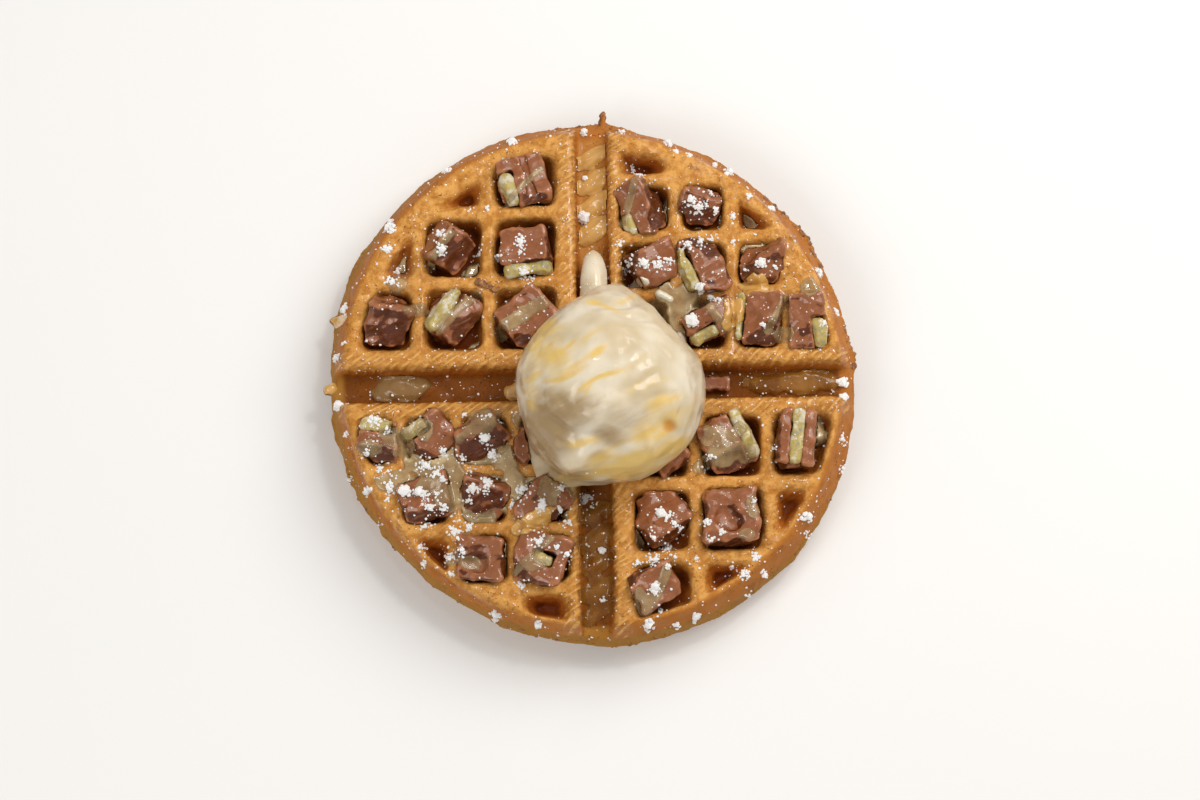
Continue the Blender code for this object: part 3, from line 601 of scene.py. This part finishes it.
# the streaks run aslant up the side that the camera sees
upright = {"Vector": from_middle, "Rotation": (-TILT, 0, 0)}
upright = ice.node("ShaderNodeMapping", {"vector_type": "POINT"}, upright)
streaky = {"Vector": upright, "Rotation": (0, 0, math.radians(26)), "Scale": (3.4, 0.75, 1.6)}
streaky = ice.node("ShaderNodeMapping", {"vector_type": "TEXTURE"}, streaky)
swirl = ice.noise(3.6, 3.0, streaky)
marble = ice.noise(15.0, 2.0)
base = ice.mix(ice.rise(marble, 0.35, 0.65), paint(0.64, 0.52, 0.33), paint(0.80, 0.71, 0.55))
# syrup and painted shade: grey-brown over the syrup marks
syrup_and_shade = ice.rise(ice.stored("syrup") + (swirl - 0.5) * 0.6, 0.12, 0.85)
base = ice.mix(syrup_and_shade * 0.88, base, paint(0.36, 0.225, 0.088))
gilded = ice.rise(ice.stored("caramel") + (swirl - 0.5) * 1.3, 0.15, 1.0)
base = ice.mix(gilded * 0.9, base, paint(0.80, 0.54, 0.135))
low = (1 - ice.rise(above, -13.5, -9.0)) * (1 - ice.rise(beyond, 12.0, 18.0))
base = ice.mix(low * 0.3, base, paint(0.60, 0.42, 0.15))
base = ice.mix(ice.stored("bump") * 0.8, base, paint(0.78, 0.66, 0.46))
base = ice.mix(ice.stored("dimple") * 0.95, base, paint(0.58, 0.25, 0.035))
melting = ice.rise(ice.noise(13.0, 2.0), 0.38, 0.58)
ice.surface(
    Base_Color=base,
    Roughness=0.50 - melting * 0.2,
    Coat_Weight=melting * 0.5 + syrup_and_shade * 0.3 + 0.15,
    relief=ice.noise(8.0, 2.0) + ice.noise(1.5, 3.0) * ice.stored("wrinkled") * 0.35,
    height=0.35)
scoop.data.materials.append(ice.material)
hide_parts("ice_cream")
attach(scoop, "root")

# The caramel sauce. Thick pale caramel lies in ribs across the channels and runs over the rim, and a
# thinner grey-beige syrup has pooled in the pockets and slid over the lumps. Each skin follows what it
# lies on, and is closed underneath.
PITCH = 0.42
grid_x = np.arange(-91.0, 91.0, PITCH)
grid_y = np.arange(-91.5, 91.5, PITCH)
mesh_x, mesh_y = np.meshgrid(grid_x, grid_y, indexing="ij")


def top_of(pieces):
    """The surfaces of these pieces, ready to be looked down on."""
    corners, faces, start = [], [], 0
    for piece in pieces:
        corners.append(vertex_table(piece))
        faces.extend([tuple(start + corner for corner in face.vertices) for face in piece.data.polygons])
        start += len(corners[-1])
    return BVHTree.FromPolygons(np.concatenate(corners).tolist(), faces)


def height_at(tree, x, y):
    """How high the food stands at a place, and -1 where there is none."""
    hit = tree.ray_cast(Vector((x, y, 90.0)), Vector((0, 0, -1)))[0]
    return -1.0 if hit is None else hit.z


def blur(values, rounds):
    for _ in range(rounds):
        wide = np.pad(values, 1, mode="edge")
        values = (wide[:-2, 1:-1] + wide[2:, 1:-1] + wide[1:-1, :-2] + wide[1:-1, 2:] + values * 2) / 6
    return values


def ripple(size, seed):
    """Smooth random values from 0 to 1 over the whole waffle, with features of one size in mm."""
    count = int(190 / size) + 4
    marks = np.random.default_rng(seed).random((count, count))
    place_x, place_y = (mesh_x + 95) / size, (mesh_y + 95) / size
    cell_x, cell_y = place_x.astype(int), place_y.astype(int)
    part_x, part_y = place_x - cell_x, place_y - cell_y
    part_x, part_y = part_x * part_x * (3 - 2 * part_x), part_y * part_y * (3 - 2 * part_y)
    low = marks[cell_x, cell_y] * (1 - part_x) + marks[cell_x + 1, cell_y] * part_x
    high = marks[cell_x, cell_y + 1] * (1 - part_x) + marks[cell_x + 1, cell_y + 1] * part_x
    return low * (1 - part_y) + high * part_y


lumps = [piece for piece in bpy.data.objects if piece.name.startswith(("chocolate_lump", "filling_bar"))]
dry_food = top_of([waffle] + lumps)
ground = np.array([[height_at(dry_food, x, y) for y in grid_y] for x in grid_x])
ball = top_of([scoop])
under_scoop = np.array([[height_at(ball, x, y) > 36.0 for y in grid_y] for x in grid_x])
well_under = blur(under_scoop.astype(float), 30) > 0.93
settled = blur(ground, 5)
uneven = ripple(4.0, 3) * 0.6 + ripple(1.7, 4) * 0.4
# depth where there is no sauce, how far under zero a skin still reaches, and how far it goes into the food
MISS = -9.0
EDGE = 0.22
ROOT = 0.45


def spread(x, y, half_x, half_y, turn=0.0, level=99.0, deepest=0.6, ragged=0.35):
    """How thick the sauce of one oval patch stands over the ground, and under zero outside it."""
    turn = math.radians(turn)
    away_x = (mesh_x - x) * math.cos(turn) + (mesh_y - y) * math.sin(turn)
    away_y = (mesh_y - y) * math.cos(turn) - (mesh_x - x) * math.sin(turn)
    away = np.hypot(away_x / half_x, away_y / half_y) + (uneven - 0.5) * ragged * 2
    rim = (1 - away) * min(half_x, half_y)
    thin_edge = np.sqrt(np.clip(rim, 0, None) * 0.9)
    edge = np.where(rim > 0, thin_edge if deepest < 4 else np.maximum(thin_edge, rim * 2.2), rim)
    return np.minimum(np.minimum(level - ground, edge), deepest)


def stroke(x0, y0, x1, y1, half_width, deepest, ragged=0.25):
    """A run of sauce from one point to another."""
    run = Vector((x1 - x0, y1 - y0))
    share = np.clip(((mesh_x - x0) * run.x + (mesh_y - y0) * run.y) / run.length_squared, 0, 1)
    away = np.hypot(mesh_x - x0 - share * run.x, mesh_y - y0 - share * run.y) / half_width
    rim = (1 - away - (uneven - 0.5) * ragged * 2) * half_width
    edge = np.where(rim > 0, np.sqrt(np.clip(rim, 0, None) * 0.6), rim)
    return np.minimum(edge, deepest)


def new_piece(name, points, faces):
    """A piece from corner points in millimetres and its faces."""
    mesh = bpy.data.meshes.new(name)
    mesh.from_pydata((points * MM).tolist(), [], faces)
    piece = bpy.data.objects.new(name, mesh)
    bpy.context.collection.objects.link(piece)
    return piece


def pour(name, thickness):
    """A closed skin from just inside what the sauce lies on up to its own smooth top."""
    thickness = np.where(well_under, MISS, thickness)
    top = ground + thickness
    filled = np.minimum(settled + thickness * 0.8, np.maximum(ground, settled) + thickness)
    top = np.where(thickness > 0, np.maximum(top, filled), top)
    wet = thickness > -EDGE
    cells = wet[:-1, :-1] & wet[1:, :-1] & wet[:-1, 1:] & wet[1:, 1:] & (ground[:-1, :-1] > 0)
    cells &= (ground[1:, :-1] > 0) & (ground[:-1, 1:] > 0) & (ground[1:, 1:] > 0)
    used = np.zeros(wet.shape, dtype=bool)
    for step_x in (0, 1):
        for step_y in (0, 1):
            used[step_x:len(grid_x) - 1 + step_x, step_y:len(grid_y) - 1 + step_y] |= cells
    number = np.full(wet.shape, -1)
    number[used] = np.arange(used.sum())
    flat_x, flat_y = mesh_x[used], mesh_y[used]
    upper_points = np.column_stack((flat_x, flat_y, top[used]))
    lower_points = np.column_stack((flat_x, flat_y, np.minimum(ground, top)[used] - ROOT))
    under = used.sum()
    cell_x, cell_y = np.nonzero(cells)
    ring = np.column_stack([
        number[cell_x + step_x, cell_y + step_y] for step_x, step_y in ((0, 0), (1, 0), (1, 1), (0, 1))])
    faces = ring.tolist() + (ring[:, ::-1] + under).tolist()
    padded = np.pad(cells, 1)
    for step_x, step_y, first, second in ((-1, 0, 3, 0), (1, 0, 1, 2), (0, -1, 0, 1), (0, 1, 2, 3)):
        outside = ~padded[1 + cell_x + step_x, 1 + cell_y + step_y]
        start, end = ring[outside, first], ring[outside, second]
        faces += np.column_stack((end, start, start + under, end + under)).tolist()
    skin = new_piece(name, np.concatenate((upper_points, lower_points)), faces)
    store(skin, "depth", np.concatenate((thickness[used], thickness[used])))
    modify(skin, "SMOOTH", factor=0.5, iterations=4)
    all_smooth(skin)
    return skin


# x, y, half length, half width, turn: ribs and pools of pale caramel on the channel floors
RIBS = (
    (1.8, 49.6, 7.6, 4.2, 38), (1.8, 58.1, 7.6, 4.0, 36), (1.6, 66.6, 7.6, 3.8, 34),
    (1.4, 75.1, 7.2, 3.3, 30),
)
# x, y, half length, half width, turn, level, most depth: light caramel over ridges and rim
CARAMEL = (
    (-20.8, -51.6, 8.4, 3.2, 30, 99, 0.7), (47.9, 18.1, 3.8, 6.4, -20, 99, 0.6),
    (55.1, 26.7, 5.4, 4.4, 20, 31.5, 2.6), (-25.4, -5.3, 3.6, 3.6, 0, 99, 0.7),
    (-89.0, -3.8, 3.2, 3.0, 0, 99, 1.0), (-85.5, 20.0, 3.6, 2.2, 0, 99, 0.7),
)
# x, y, half length, half width, turn, level, most depth: grey-beige syrup
SYRUP = (
    (1.0, -47.6, 7.6, 3.8, 34, 99, 0.6), (0.8, -55.6, 7.8, 4.0, 32, 99, 0.6),
    (0.9, -64.2, 7.6, 3.9, 36, 99, 0.6), (1.0, -72.8, 7.6, 4.0, 33, 99, 0.6),
    (1.0, -80.6, 7.0, 3.4, 30, 99, 0.5), (-66.5, -22.5, 4.5, 3.6, -10, 99, 0.6),
    (-38.0, -17.0, 6.0, 3.4, 30, 99, 0.6), (-14.5, -41.0, 4.2, 5.0, 0, 99, 0.6),
    (-53.5, -38.0, 5.0, 3.6, 10, 99, 0.5), (-41.0, -64.5, 4.2, 2.4, -15, 99, 0.5),
    (50.0, -57.0, 2.6, 2.2, 0, 99, 0.4), (-46.0, -35.0, 25.0, 13.0, 8, 27.5, 12),
    (-20.0, -42.0, 12.0, 9.0, 0, 27.2, 12), (-36.0, -60.0, 11.0, 8.0, -10, 25.5, 12),
    (-17.0, -62.0, 10.5, 10.0, 0, 25.0, 12), (-66.0, -23.0, 9.0, 7.0, 0, 24.0, 12),
    (-30.0, -24.0, 12.0, 6.0, 10, 26.5, 12), (-52.7, -31.6, 9.0, 6.2, 10, 29.2, 9),
    (-65.1, -36.7, 7.2, 3.6, 0, 29.0, 8), (-47.2, -43.6, 4.6, 4.4, 0, 99, 0.6),
    (-60.4, -49.9, 3.6, 2.8, 0, 26.0, 5), (-37.8, -47.3, 6.4, 5.8, 0, 27.2, 8),
    (-45.5, -38.3, 4.6, 7.0, 0, 29.3, 9), (-25.6, -38.6, 5.0, 6.4, 0, 29.3, 9),
    (-29.0, -30.0, 5.0, 5.0, 0, 29.0, 9), (-34.7, -59.0, 7.4, 4.2, 0, 26.5, 6),
    (-23.5, -68.7, 3.4, 3.8, 0, 27.5, 6), (-19.3, -65.9, 3.8, 2.5, 0, 99, 0.5),
    (-61.5, -24.0, 3.4, 5.2, 0, 99, 0.5), (-55.9, -20.4, 3.4, 4.0, 0, 99, 0.6),
    (-73.5, -26.0, 4.0, 3.3, 0, 99, 0.5), (-36.1, -19.2, 6.0, 3.8, 25, 99, 0.6),
    (-6.6, -46.7, 4.6, 6.6, 0, 27.5, 6), (-4.9, -40.9, 4.0, 3.3, 0, 99, 0.6),
    (-47.3, -63.5, 3.4, 1.9, 0, 28.0, 5), (-64.4, -4.3, 11.4, 4.6, 2, 21.4, 3),
    (-23.0, -16.7, 3.4, 3.2, 0, 99, 0.7), (-63.5, 38.4, 4.4, 5.6, 0, 21.5, 4),
    (-12.0, -37.0, 7.0, 5.0, 10, 29.0, 9), (-64.9, 30.6, 3.8, 4.0, 0, 99, 0.5),
    (-38.2, 34.7, 4.8, 4.2, 0, 22.5, 4), (-72.5, 20.4, 4.2, 5.2, 0, 23.0, 4),
    (-38.5, 8.1, 3.8, 3.6, 0, 23.0, 4), (-58.6, 21.2, 4.6, 2.9, 20, 99, 0.6),
    (57.0, 53.3, 4.4, 6.0, 0, 21.5, 3), (73.5, 26.3, 3.8, 3.6, 0, 99, 0.6),
    (30.0, 20.5, 7.4, 10.5, 35, 29.0, 9), (38.0, 46.7, 3.6, 2.6, 0, 23.0, 4),
    (26.6, 54.8, 2.2, 5.0, 0, 24.0, 4), (64.5, 10.6, 3.2, 3.0, 30, 99, 0.5),
    (71.9, 6.9, 3.8, 4.4, 0, 27.5, 5), (55.6, 41.4, 5.0, 3.8, 20, 25.5, 5),
    (68.3, -4.4, 17.6, 4.6, 0, 21.3, 3), (45.4, 53.3, 2.2, 5.8, 0, 24.0, 4),
    (40.3, -23.7, 5.0, 3.7, 10, 99, 0.5), (44.9, -30.2, 6.6, 3.0, 38, 99, 0.6),
    (63.7, -22.7, 2.6, 5.3, 0, 26.0, 5), (75.4, -22.0, 3.0, 6.1, 0, 26.0, 5),
    (16.0, -78.1, 2.6, 5.4, 10, 99, 0.6), (52.5, -47.4, 2.6, 4.2, 0, 99, 0.5),
    (15.4, -53.2, 2.0, 6.4, 0, 25.5, 5), (51.3, -29.5, 4.1, 2.6, 50, 99, 0.5),
)
# from x, y to x, y, half width, depth: streaks of syrup slid over the lumps
SLIDES = (
    (-30.5, 13.0, -14.5, 23.0, 2.6, 0.6), (-27.5, 57.0, -16.0, 68.5, 1.3, 0.5),
    (-50.0, 14.0, -38.5, 26.0, 2.0, 0.55), (-54.0, 36.0, -46.5, 46.0, 1.6, 0.5),
    (35.5, -34.0, 49.0, -21.5, 2.4, 0.6), (19.0, -78.0, 24.0, -68.0, 2.0, 0.6),
    (-44.0, -24.0, -31.0, -15.0, 1.5, 0.45), (59.0, 11.5, 66.0, 24.0, 1.4, 0.5),
    (11.5, 50.0, 16.0, 64.0, 1.6, 0.45), (-26.0, -68.0, -14.0, -57.0, 1.4, 0.5),
    (37.0, 24.0, 45.0, 12.0, 2.0, 0.5), (-65.0, -28.0, -60.0, -16.0, 1.2, 0.5),
)
ribs = [spread(*rib, level=22.5, deepest=0.9, ragged=0.12) for rib in RIBS]
caramel_depth = np.max(ribs + [spread(*patch) for patch in CARAMEL], axis=0)
syrup_depth = np.max([spread(*patch) for patch in SYRUP] + [stroke(*slide) for slide in SLIDES], axis=0)

sauce = Finish("pale_caramel", Roughness=0.2, Coat_Weight=0.8, Coat_Roughness=0.05)
blend = sauce.noise(5.0, 3.0, sauce.spot(35, (2.5, 0.8, 1)))
sauce.surface(
    Base_Color=sauce.mix(sauce.rise(blend, 0.35, 0.65), paint(0.62, 0.31, 0.062), paint(0.78, 0.46, 0.135)),
    Alpha=sauce.rise(sauce.stored("depth"), -0.1, 0.45) * 0.65 + 0.3,
    relief=sauce.noise(6.0, 2.0),
    height=0.3)

syrup = Finish("grey_syrup", Roughness=0.15, Coat_Roughness=0.04)
cloud = syrup.noise(6.0, 3.0)
cloudy = syrup.rise(cloud, 0.35, 0.65)
across, _, _ = syrup.axes(syrup.spot())
milky = syrup.mix(cloudy, paint(0.40, 0.275, 0.125), paint(0.62, 0.46, 0.235))
ambered = syrup.mix(cloudy, paint(0.24, 0.085, 0.008), paint(0.38, 0.170, 0.028))
ambered = syrup.mix(syrup.rise(across, -40.0, 0.0), paint(0.34, 0.20, 0.070), ambered)
past_channel = syrup.rise(from_channel(syrup), 6.0, 8.0)
thick = syrup.rise(syrup.stored("depth"), -0.15, 1.1)
deep = syrup.rise(syrup.stored("depth"), 1.0, 4.0)
syrup.surface(
    Base_Color=syrup.mix(past_channel, ambered, milky),
    Coat_Weight=past_channel * 0.65 + 0.25,
    Alpha=thick * 0.48 + cloud * 0.42 + deep * 0.3 - 0.02,
    relief=syrup.noise(4.0, 2.0),
    height=0.25)

# from x, y to x, y, half width, depth: melted ice cream that ran off the scoop
MELT = (
    (23.0, 25.2, 26.6, 23.2, 1.6, 1.3), (29.8, 10.8, 32.4, 7.4, 1.4, 0.9),
    (14.5, 30.0, 19.0, 28.6, 1.2, 0.7),
)
melt_depth = np.max([stroke(*run, ragged=0.08) for run in MELT], axis=0)
melt_depth = np.where(melt_depth > 0, melt_depth + np.clip(syrup_depth, 0, 4), melt_depth)
melted = Finish("melted_cream", Roughness=0.25, Coat_Weight=0.7, Coat_Roughness=0.05)
melted.surface(Base_Color=melted.mix(melted.noise(2.5), paint(0.72, 0.66, 0.50), paint(0.86, 0.81, 0.68)))

caramel_skin = pour("caramel_ribs", caramel_depth)
caramel_skin.data.materials.append(sauce.material)
syrup_skin = pour("syrup_pools", syrup_depth)
syrup_skin.data.materials.append(syrup.material)
melt_skin = pour("melted_cream", melt_depth)
melt_skin.data.materials.append(melted.material)
for skin in (caramel_skin, syrup_skin, melt_skin):
    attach(skin, "root")

# The powdered sugar. It was sieved over last, so it lies on everything as fine white grains, and in
# damp spots the grains have drawn together into clumps.
# x, y, spread in mm, how many grains
CLUMPS = (
    (-66.2, 48.5, 2.0, 14), (-68.2, 42.3, 3.0, 26), (-65.1, 35.8, 2.5, 12), (-66.4, 30.8, 3.5, 22),
    (-49.9, 46.5, 3.0, 30), (-37.3, 40.9, 2.0, 10), (-22.8, 43.0, 3.2, 36), (-23.1, 39.2, 2.0, 10),
    (-21.9, 32.4, 4.5, 26), (-20.0, 29.3, 2.0, 8), (-31.0, 38.6, 2.0, 14), (-34.2, 55.6, 2.0, 5),
    (-40.0, 55.3, 1.5, 5), (14.9, 70.7, 3.0, 12), (17.5, 66.5, 2.5, 12), (29.9, 75.0, 1.5, 10),
    (34.6, 73.8, 2.0, 10), (11.8, 84.7, 2.5, 14), (37.3, 54.2, 3.5, 40), (41.5, 59.5, 2.0, 12),
    (42.8, 53.4, 2.0, 10), (54.2, 58.6, 1.8, 10), (48.6, 51.8, 1.5, 8), (48.3, 42.8, 1.5, 6),
    (10.4, 42.1, 2.5, 14), (13.2, 35.7, 3.5, 22), (23.2, 34.8, 3.5, 30), (26.6, 36.1, 2.0, 10),
    (33.1, 40.9, 3.0, 22), (37.2, 42.9, 3.0, 22), (41.2, 44.2, 2.0, 10), (43.1, 22.2, 2.2, 16),
    (58.6, 34.3, 1.5, 6), (62.5, 33.5, 1.5, 6), (52.0, 33.0, 1.5, 5), (78.4, 13.7, 2.0, 10),
    (57.4, 13.0, 2.0, 6), (-71.7, -16.1, 4.5, 26), (-67.3, -20.4, 2.0, 10), (-74.3, -27.6, 2.5, 12),
    (-70.5, -32.7, 3.0, 18), (-49.7, -27.5, 4.0, 24), (-55.3, -31.9, 4.5, 40), (-51.7, -34.7, 3.5, 26),
    (-49.4, -37.0, 2.0, 14), (-43.0, -29.6, 2.5, 16), (-42.5, -14.7, 1.5, 8), (-33.6, -15.9, 2.0, 12),
    (-30.3, -17.6, 1.5, 6), (-67.4, -39.1, 4.5, 40), (-67.7, -43.1, 1.5, 5), (-55.5, -41.2, 3.0, 22),
    (-51.2, -41.6, 2.0, 8), (-53.6, -45.9, 3.5, 26), (-49.3, -46.6, 3.0, 20), (-55.5, -51.6, 3.0, 18),
    (-33.1, -28.3, 3.5, 26), (-34.7, -37.7, 3.5, 26), (-40.4, -34.0, 2.0, 8), (-34.7, -39.7, 2.5, 14),
    (-23.0, -40.3, 4.0, 34), (-26.7, -45.2, 2.0, 12), (-41.2, -43.8, 2.0, 10), (-45.6, -53.4, 4.0, 34),
    (-41.0, -52.5, 3.0, 20), (-44.7, -56.8, 2.0, 4), (-57.3, -58.8, 3.0, 16), (-48.0, -62.2, 4.0, 26),
    (-43.0, -61.1, 2.0, 10), (-10.2, -40.3, 2.5, 14), (-2.6, -42.5, 5.0, 34), (-10.9, -47.1, 2.5, 16),
    (-8.4, -51.5, 2.0, 8), (-17.6, -58.0, 3.5, 28), (-12.0, -60.0, 2.0, 8), (-23.7, -72.1, 2.5, 20),
    (-47.1, -67.9, 2.2, 8), (-8.5, -62.7, 2.0, 8), (39.1, -30.7, 2.0, 10), (37.2, -34.3, 1.5, 6),
    (60.1, -27.6, 1.5, 8), (83.5, -24.0, 2.2, 14), (84.2, -32.8, 3.5, 20), (84.0, -37.8, 2.0, 8),
    (24.5, -50.1, 3.5, 22), (26.8, -52.8, 2.5, 12), (19.5, -57.0, 2.5, 12), (24.4, -60.1, 3.0, 22),
    (29.1, -55.0, 2.0, 8), (20.1, -64.1, 3.0, 34), (14.1, -65.2, 2.0, 10), (33.9, -64.0, 1.6, 8),
    (26.7, -63.5, 2.0, 6), (37.4, -52.7, 2.0, 16), (42.2, -55.9, 2.5, 14), (38.9, -58.3, 2.0, 10),
    (52.7, -46.0, 1.5, 5), (53.0, -63.8, 2.5, 20), (49.6, -68.7, 3.0, 26), (45.7, -66.7, 2.5, 8),
    (51.3, -75.3, 3.0, 10), (21.6, -80.6, 2.5, 14), (19.8, -75.3, 2.5, 12), (2.7, -59.8, 1.5, 8),
    (2.8, -76.4, 1.5, 6), (-82.9, -34.3, 3.0, 24), (-81.7, -40.9, 3.0, 20), (-79.4, -46.0, 3.0, 14),
    (-71.3, -50.2, 1.5, 3), (-86.1, 7.3, 2.0, 6), (-83.2, 10.3, 1.5, 5), (71.0, -55.4, 2.5, 10),
    (68.8, -50.8, 2.0, 8),
)
# x, y, radius of single balls of sugar
BALLS = (
    (33.6, 14.9, 2.1), (36.8, 26.2, 1.5), (40.4, 23.7, 1.1), (-62.0, -40.7, 1.9), (-1.6, 53.9, 1.9),
    (-1.1, 67.6, 0.9), (24.2, -67.0, 1.0), (2.7, -59.8, 1.2),
)
# x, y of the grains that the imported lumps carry
LUMP_GRAINS = (
    (-49.1, 40.5), (34.2, 56.6), (18.4, 34.8), (57.3, 34.2), (-35.5, -23.4), (-57.6, -40.9), (-39.6, -40.4),
    (-17.0, -46.2), (21.7, -49.0), (19.8, -73.5),
)
CLUMP_FILL = 1.3
SPECKS = 1900
RIM_CLUMPS = 26
ROUND = 2 * math.pi
draw = random.Random(7)
food = top_of([waffle, scoop, caramel_skin, syrup_skin, melt_skin] + lumps)
grains = []


def step_off(middle, away, turn):
    return middle[0] + away * math.cos(turn), middle[1] + away * math.sin(turn)


# each grain: x, y, radius, and by how much of its radius it stands clear of what it lies on
for clump_x, clump_y, spread_out, count in CLUMPS:
    for _ in range(int(count * CLUMP_FILL)):
        away = abs(draw.gauss(0, 0.5)) * spread_out
        turn = draw.uniform(0, ROUND)
        size = draw.uniform(0.24, 0.62) * (1.25 - 0.5 * min(away / spread_out, 1))
        grains.append((*step_off((clump_x, clump_y), away, turn), size, 0.35))
for _ in range(SPECKS):
    away = 88 * math.sqrt(draw.random())
    x, y = step_off(PLATE, away, draw.uniform(0, ROUND))
    if math.hypot(x - SCOOP[0], y - SCOOP[1]) > 33:
        grains.append((x, y, draw.uniform(0.13, 0.30) * (1.0 if draw.random() < 0.8 else 1.7), 0.3))
for *ball, radius in BALLS:
    grains.append((*ball, radius, 0.55))
    for _ in range(18):
        turn = draw.uniform(0, ROUND)
        away = radius * draw.uniform(0.5, 0.95)
        grains.append((*step_off(ball, away, turn), radius * 0.4, 1.1))
for middle in LUMP_GRAINS:
    grains.append((*middle, 1.5, 0.1))
    for _ in range(14):
        turn = draw.uniform(0, ROUND)
        away = draw.uniform(0.9, 2.0)
        grains.append((*step_off(middle, away, turn), draw.uniform(0.4, 0.7), 0.3))

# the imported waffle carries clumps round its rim, strewn by these same draws, and each gets a ring of grains
rim_draw = random.Random(41)
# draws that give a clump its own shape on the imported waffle, and nothing here
UNUSED_DRAWS = 38
for index in range(RIM_CLUMPS):
    size = 1.7 - 0.8 * index / RIM_CLUMPS
    turn = ROUND * (index * 0.382 + rim_draw.uniform(-0.02, 0.02))
    out = rim_draw.uniform(83.8, 86.5) + 1.3 * math.cos(2 * (turn - math.radians(131)))
    for _ in range(UNUSED_DRAWS):
        rim_draw.random()
    middle = step_off(PLATE, out, turn)
    grains.append((*middle, size, 0.15))
    for _ in range(12):
        swing = draw.uniform(0, ROUND)
        away = size * draw.uniform(0.5, 1.2)
        grains.append((*step_off(middle, away, swing), size * draw.uniform(0.3, 0.6), 0.3))


def little_ball(rounds):
    """The corners and faces of a ball of radius 1."""
    bpy.ops.object.select_all(action="DESELECT")
    bpy.ops.mesh.primitive_ico_sphere_add(subdivisions=rounds, radius=1.0)
    shape = bpy.context.object
    corners = np.array([corner.co[:] for corner in shape.data.vertices])
    faces = np.array([face.vertices[:] for face in shape.data.polygons])
    bpy.data.objects.remove(shape)
    return corners, faces


unit, unit_faces = little_ball(1)
numbers = np.random.default_rng(11)
corners, faces = [], []
for x, y, size, lift in grains:
    z = height_at(food, x, y)
    if z < 1.0:
        continue
    shape = unit * (1 + numbers.uniform(-0.28, 0.28, (len(unit), 1))) * size
    shape[:, 2] *= 0.75
    faces.append(unit_faces + len(corners) * len(unit))
    corners.append(shape + (x, y, z + lift * size))
sugar = new_piece("powdered_sugar", np.concatenate(corners), np.concatenate(faces).tolist())
powder = Finish("powdered_sugar", Roughness=0.8, Specular_IOR_Level=0.2)
powder.surface(
    Base_Color=powder.mix(powder.noise(2.0), paint(0.86, 0.85, 0.84), paint(0.95, 0.95, 0.95)),
    relief=powder.noise(0.25, 2.0),
    height=0.1)
sugar.data.materials.append(powder.material)
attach(sugar, "root")

# The crumbs. Bits of over-baked batter broke off the fringe and cling to the seam, with a stout one by the
# spike at the far side, and one thin brown flake lies on a ridge.
# from, to, in degrees round the waffle, crumbs, largest in mm
CRUMB_RUNS = (
    (24, 48, 34, 1.6), (1, 12, 16, 1.5), (82, 100, 18, 1.3), (150, 160, 5, 1.2), (196, 262, 24, 1.2),
    (268, 300, 10, 1.2), (318, 345, 8, 1.0),
)
unit, unit_faces = little_ball(2)
corners, faces = [], []


def add_crumb(x, y, z, half_sizes, roughness=0.22):
    shape = unit * (1 + numbers.uniform(-roughness, roughness, (len(unit), 1))) * half_sizes
    swing = numbers.uniform(0, math.pi)
    cos, sin = math.cos(swing), math.sin(swing)
    faces.append(unit_faces + len(corners) * len(unit))
    corners.append(shape @ np.array(((cos, sin, 0), (-sin, cos, 0), (0, 0, 1))) + (x, y, z))


for first, last, count, largest in CRUMB_RUNS:
    for _ in range(count):
        turn = math.radians(draw.uniform(first, last))
        size = largest * draw.uniform(0.45, 1.0)
        inwards = Vector((-math.cos(turn), -math.sin(turn), 0))
        start = Vector((*PLATE, SEAM + draw.uniform(-1.2, 2.6))) - inwards * 110
        place = food.ray_cast(start, inwards)[0] + inwards * size * 0.45
        add_crumb(*place, (size, size * draw.uniform(0.6, 0.9), size * draw.uniform(0.5, 0.8)))
for step in range(9):
    add_crumb(5.2 + draw.uniform(-0.25, 0.25), 86.6 + 0.62 * step, 15.4, (2.0 - 0.13 * step, 1.1, 1.0), 0.1)
for step in range(7):
    add_crumb(-37.6 + 1.05 * step, 30.4 - 0.5 * step, 28.6, (1.1, 1.3 - 0.12 * step, 0.3), 0.3)
crumbs = new_piece("baked_crumbs", np.concatenate(corners), np.concatenate(faces).tolist())
all_smooth(crumbs)
toast = Finish("baked_crumb", Roughness=0.6, Coat_Weight=0.15)
patchy = toast.rise(toast.noise(1.4, 3.0), 0.35, 0.65)
toast.surface(
    Base_Color=toast.mix(patchy, paint(0.19, 0.070, 0.018), paint(0.46, 0.20, 0.060)),
    relief=toast.noise(0.5, 3.0),
    height=0.3)
crumbs.data.materials.append(toast.material)
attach(crumbs, "root")
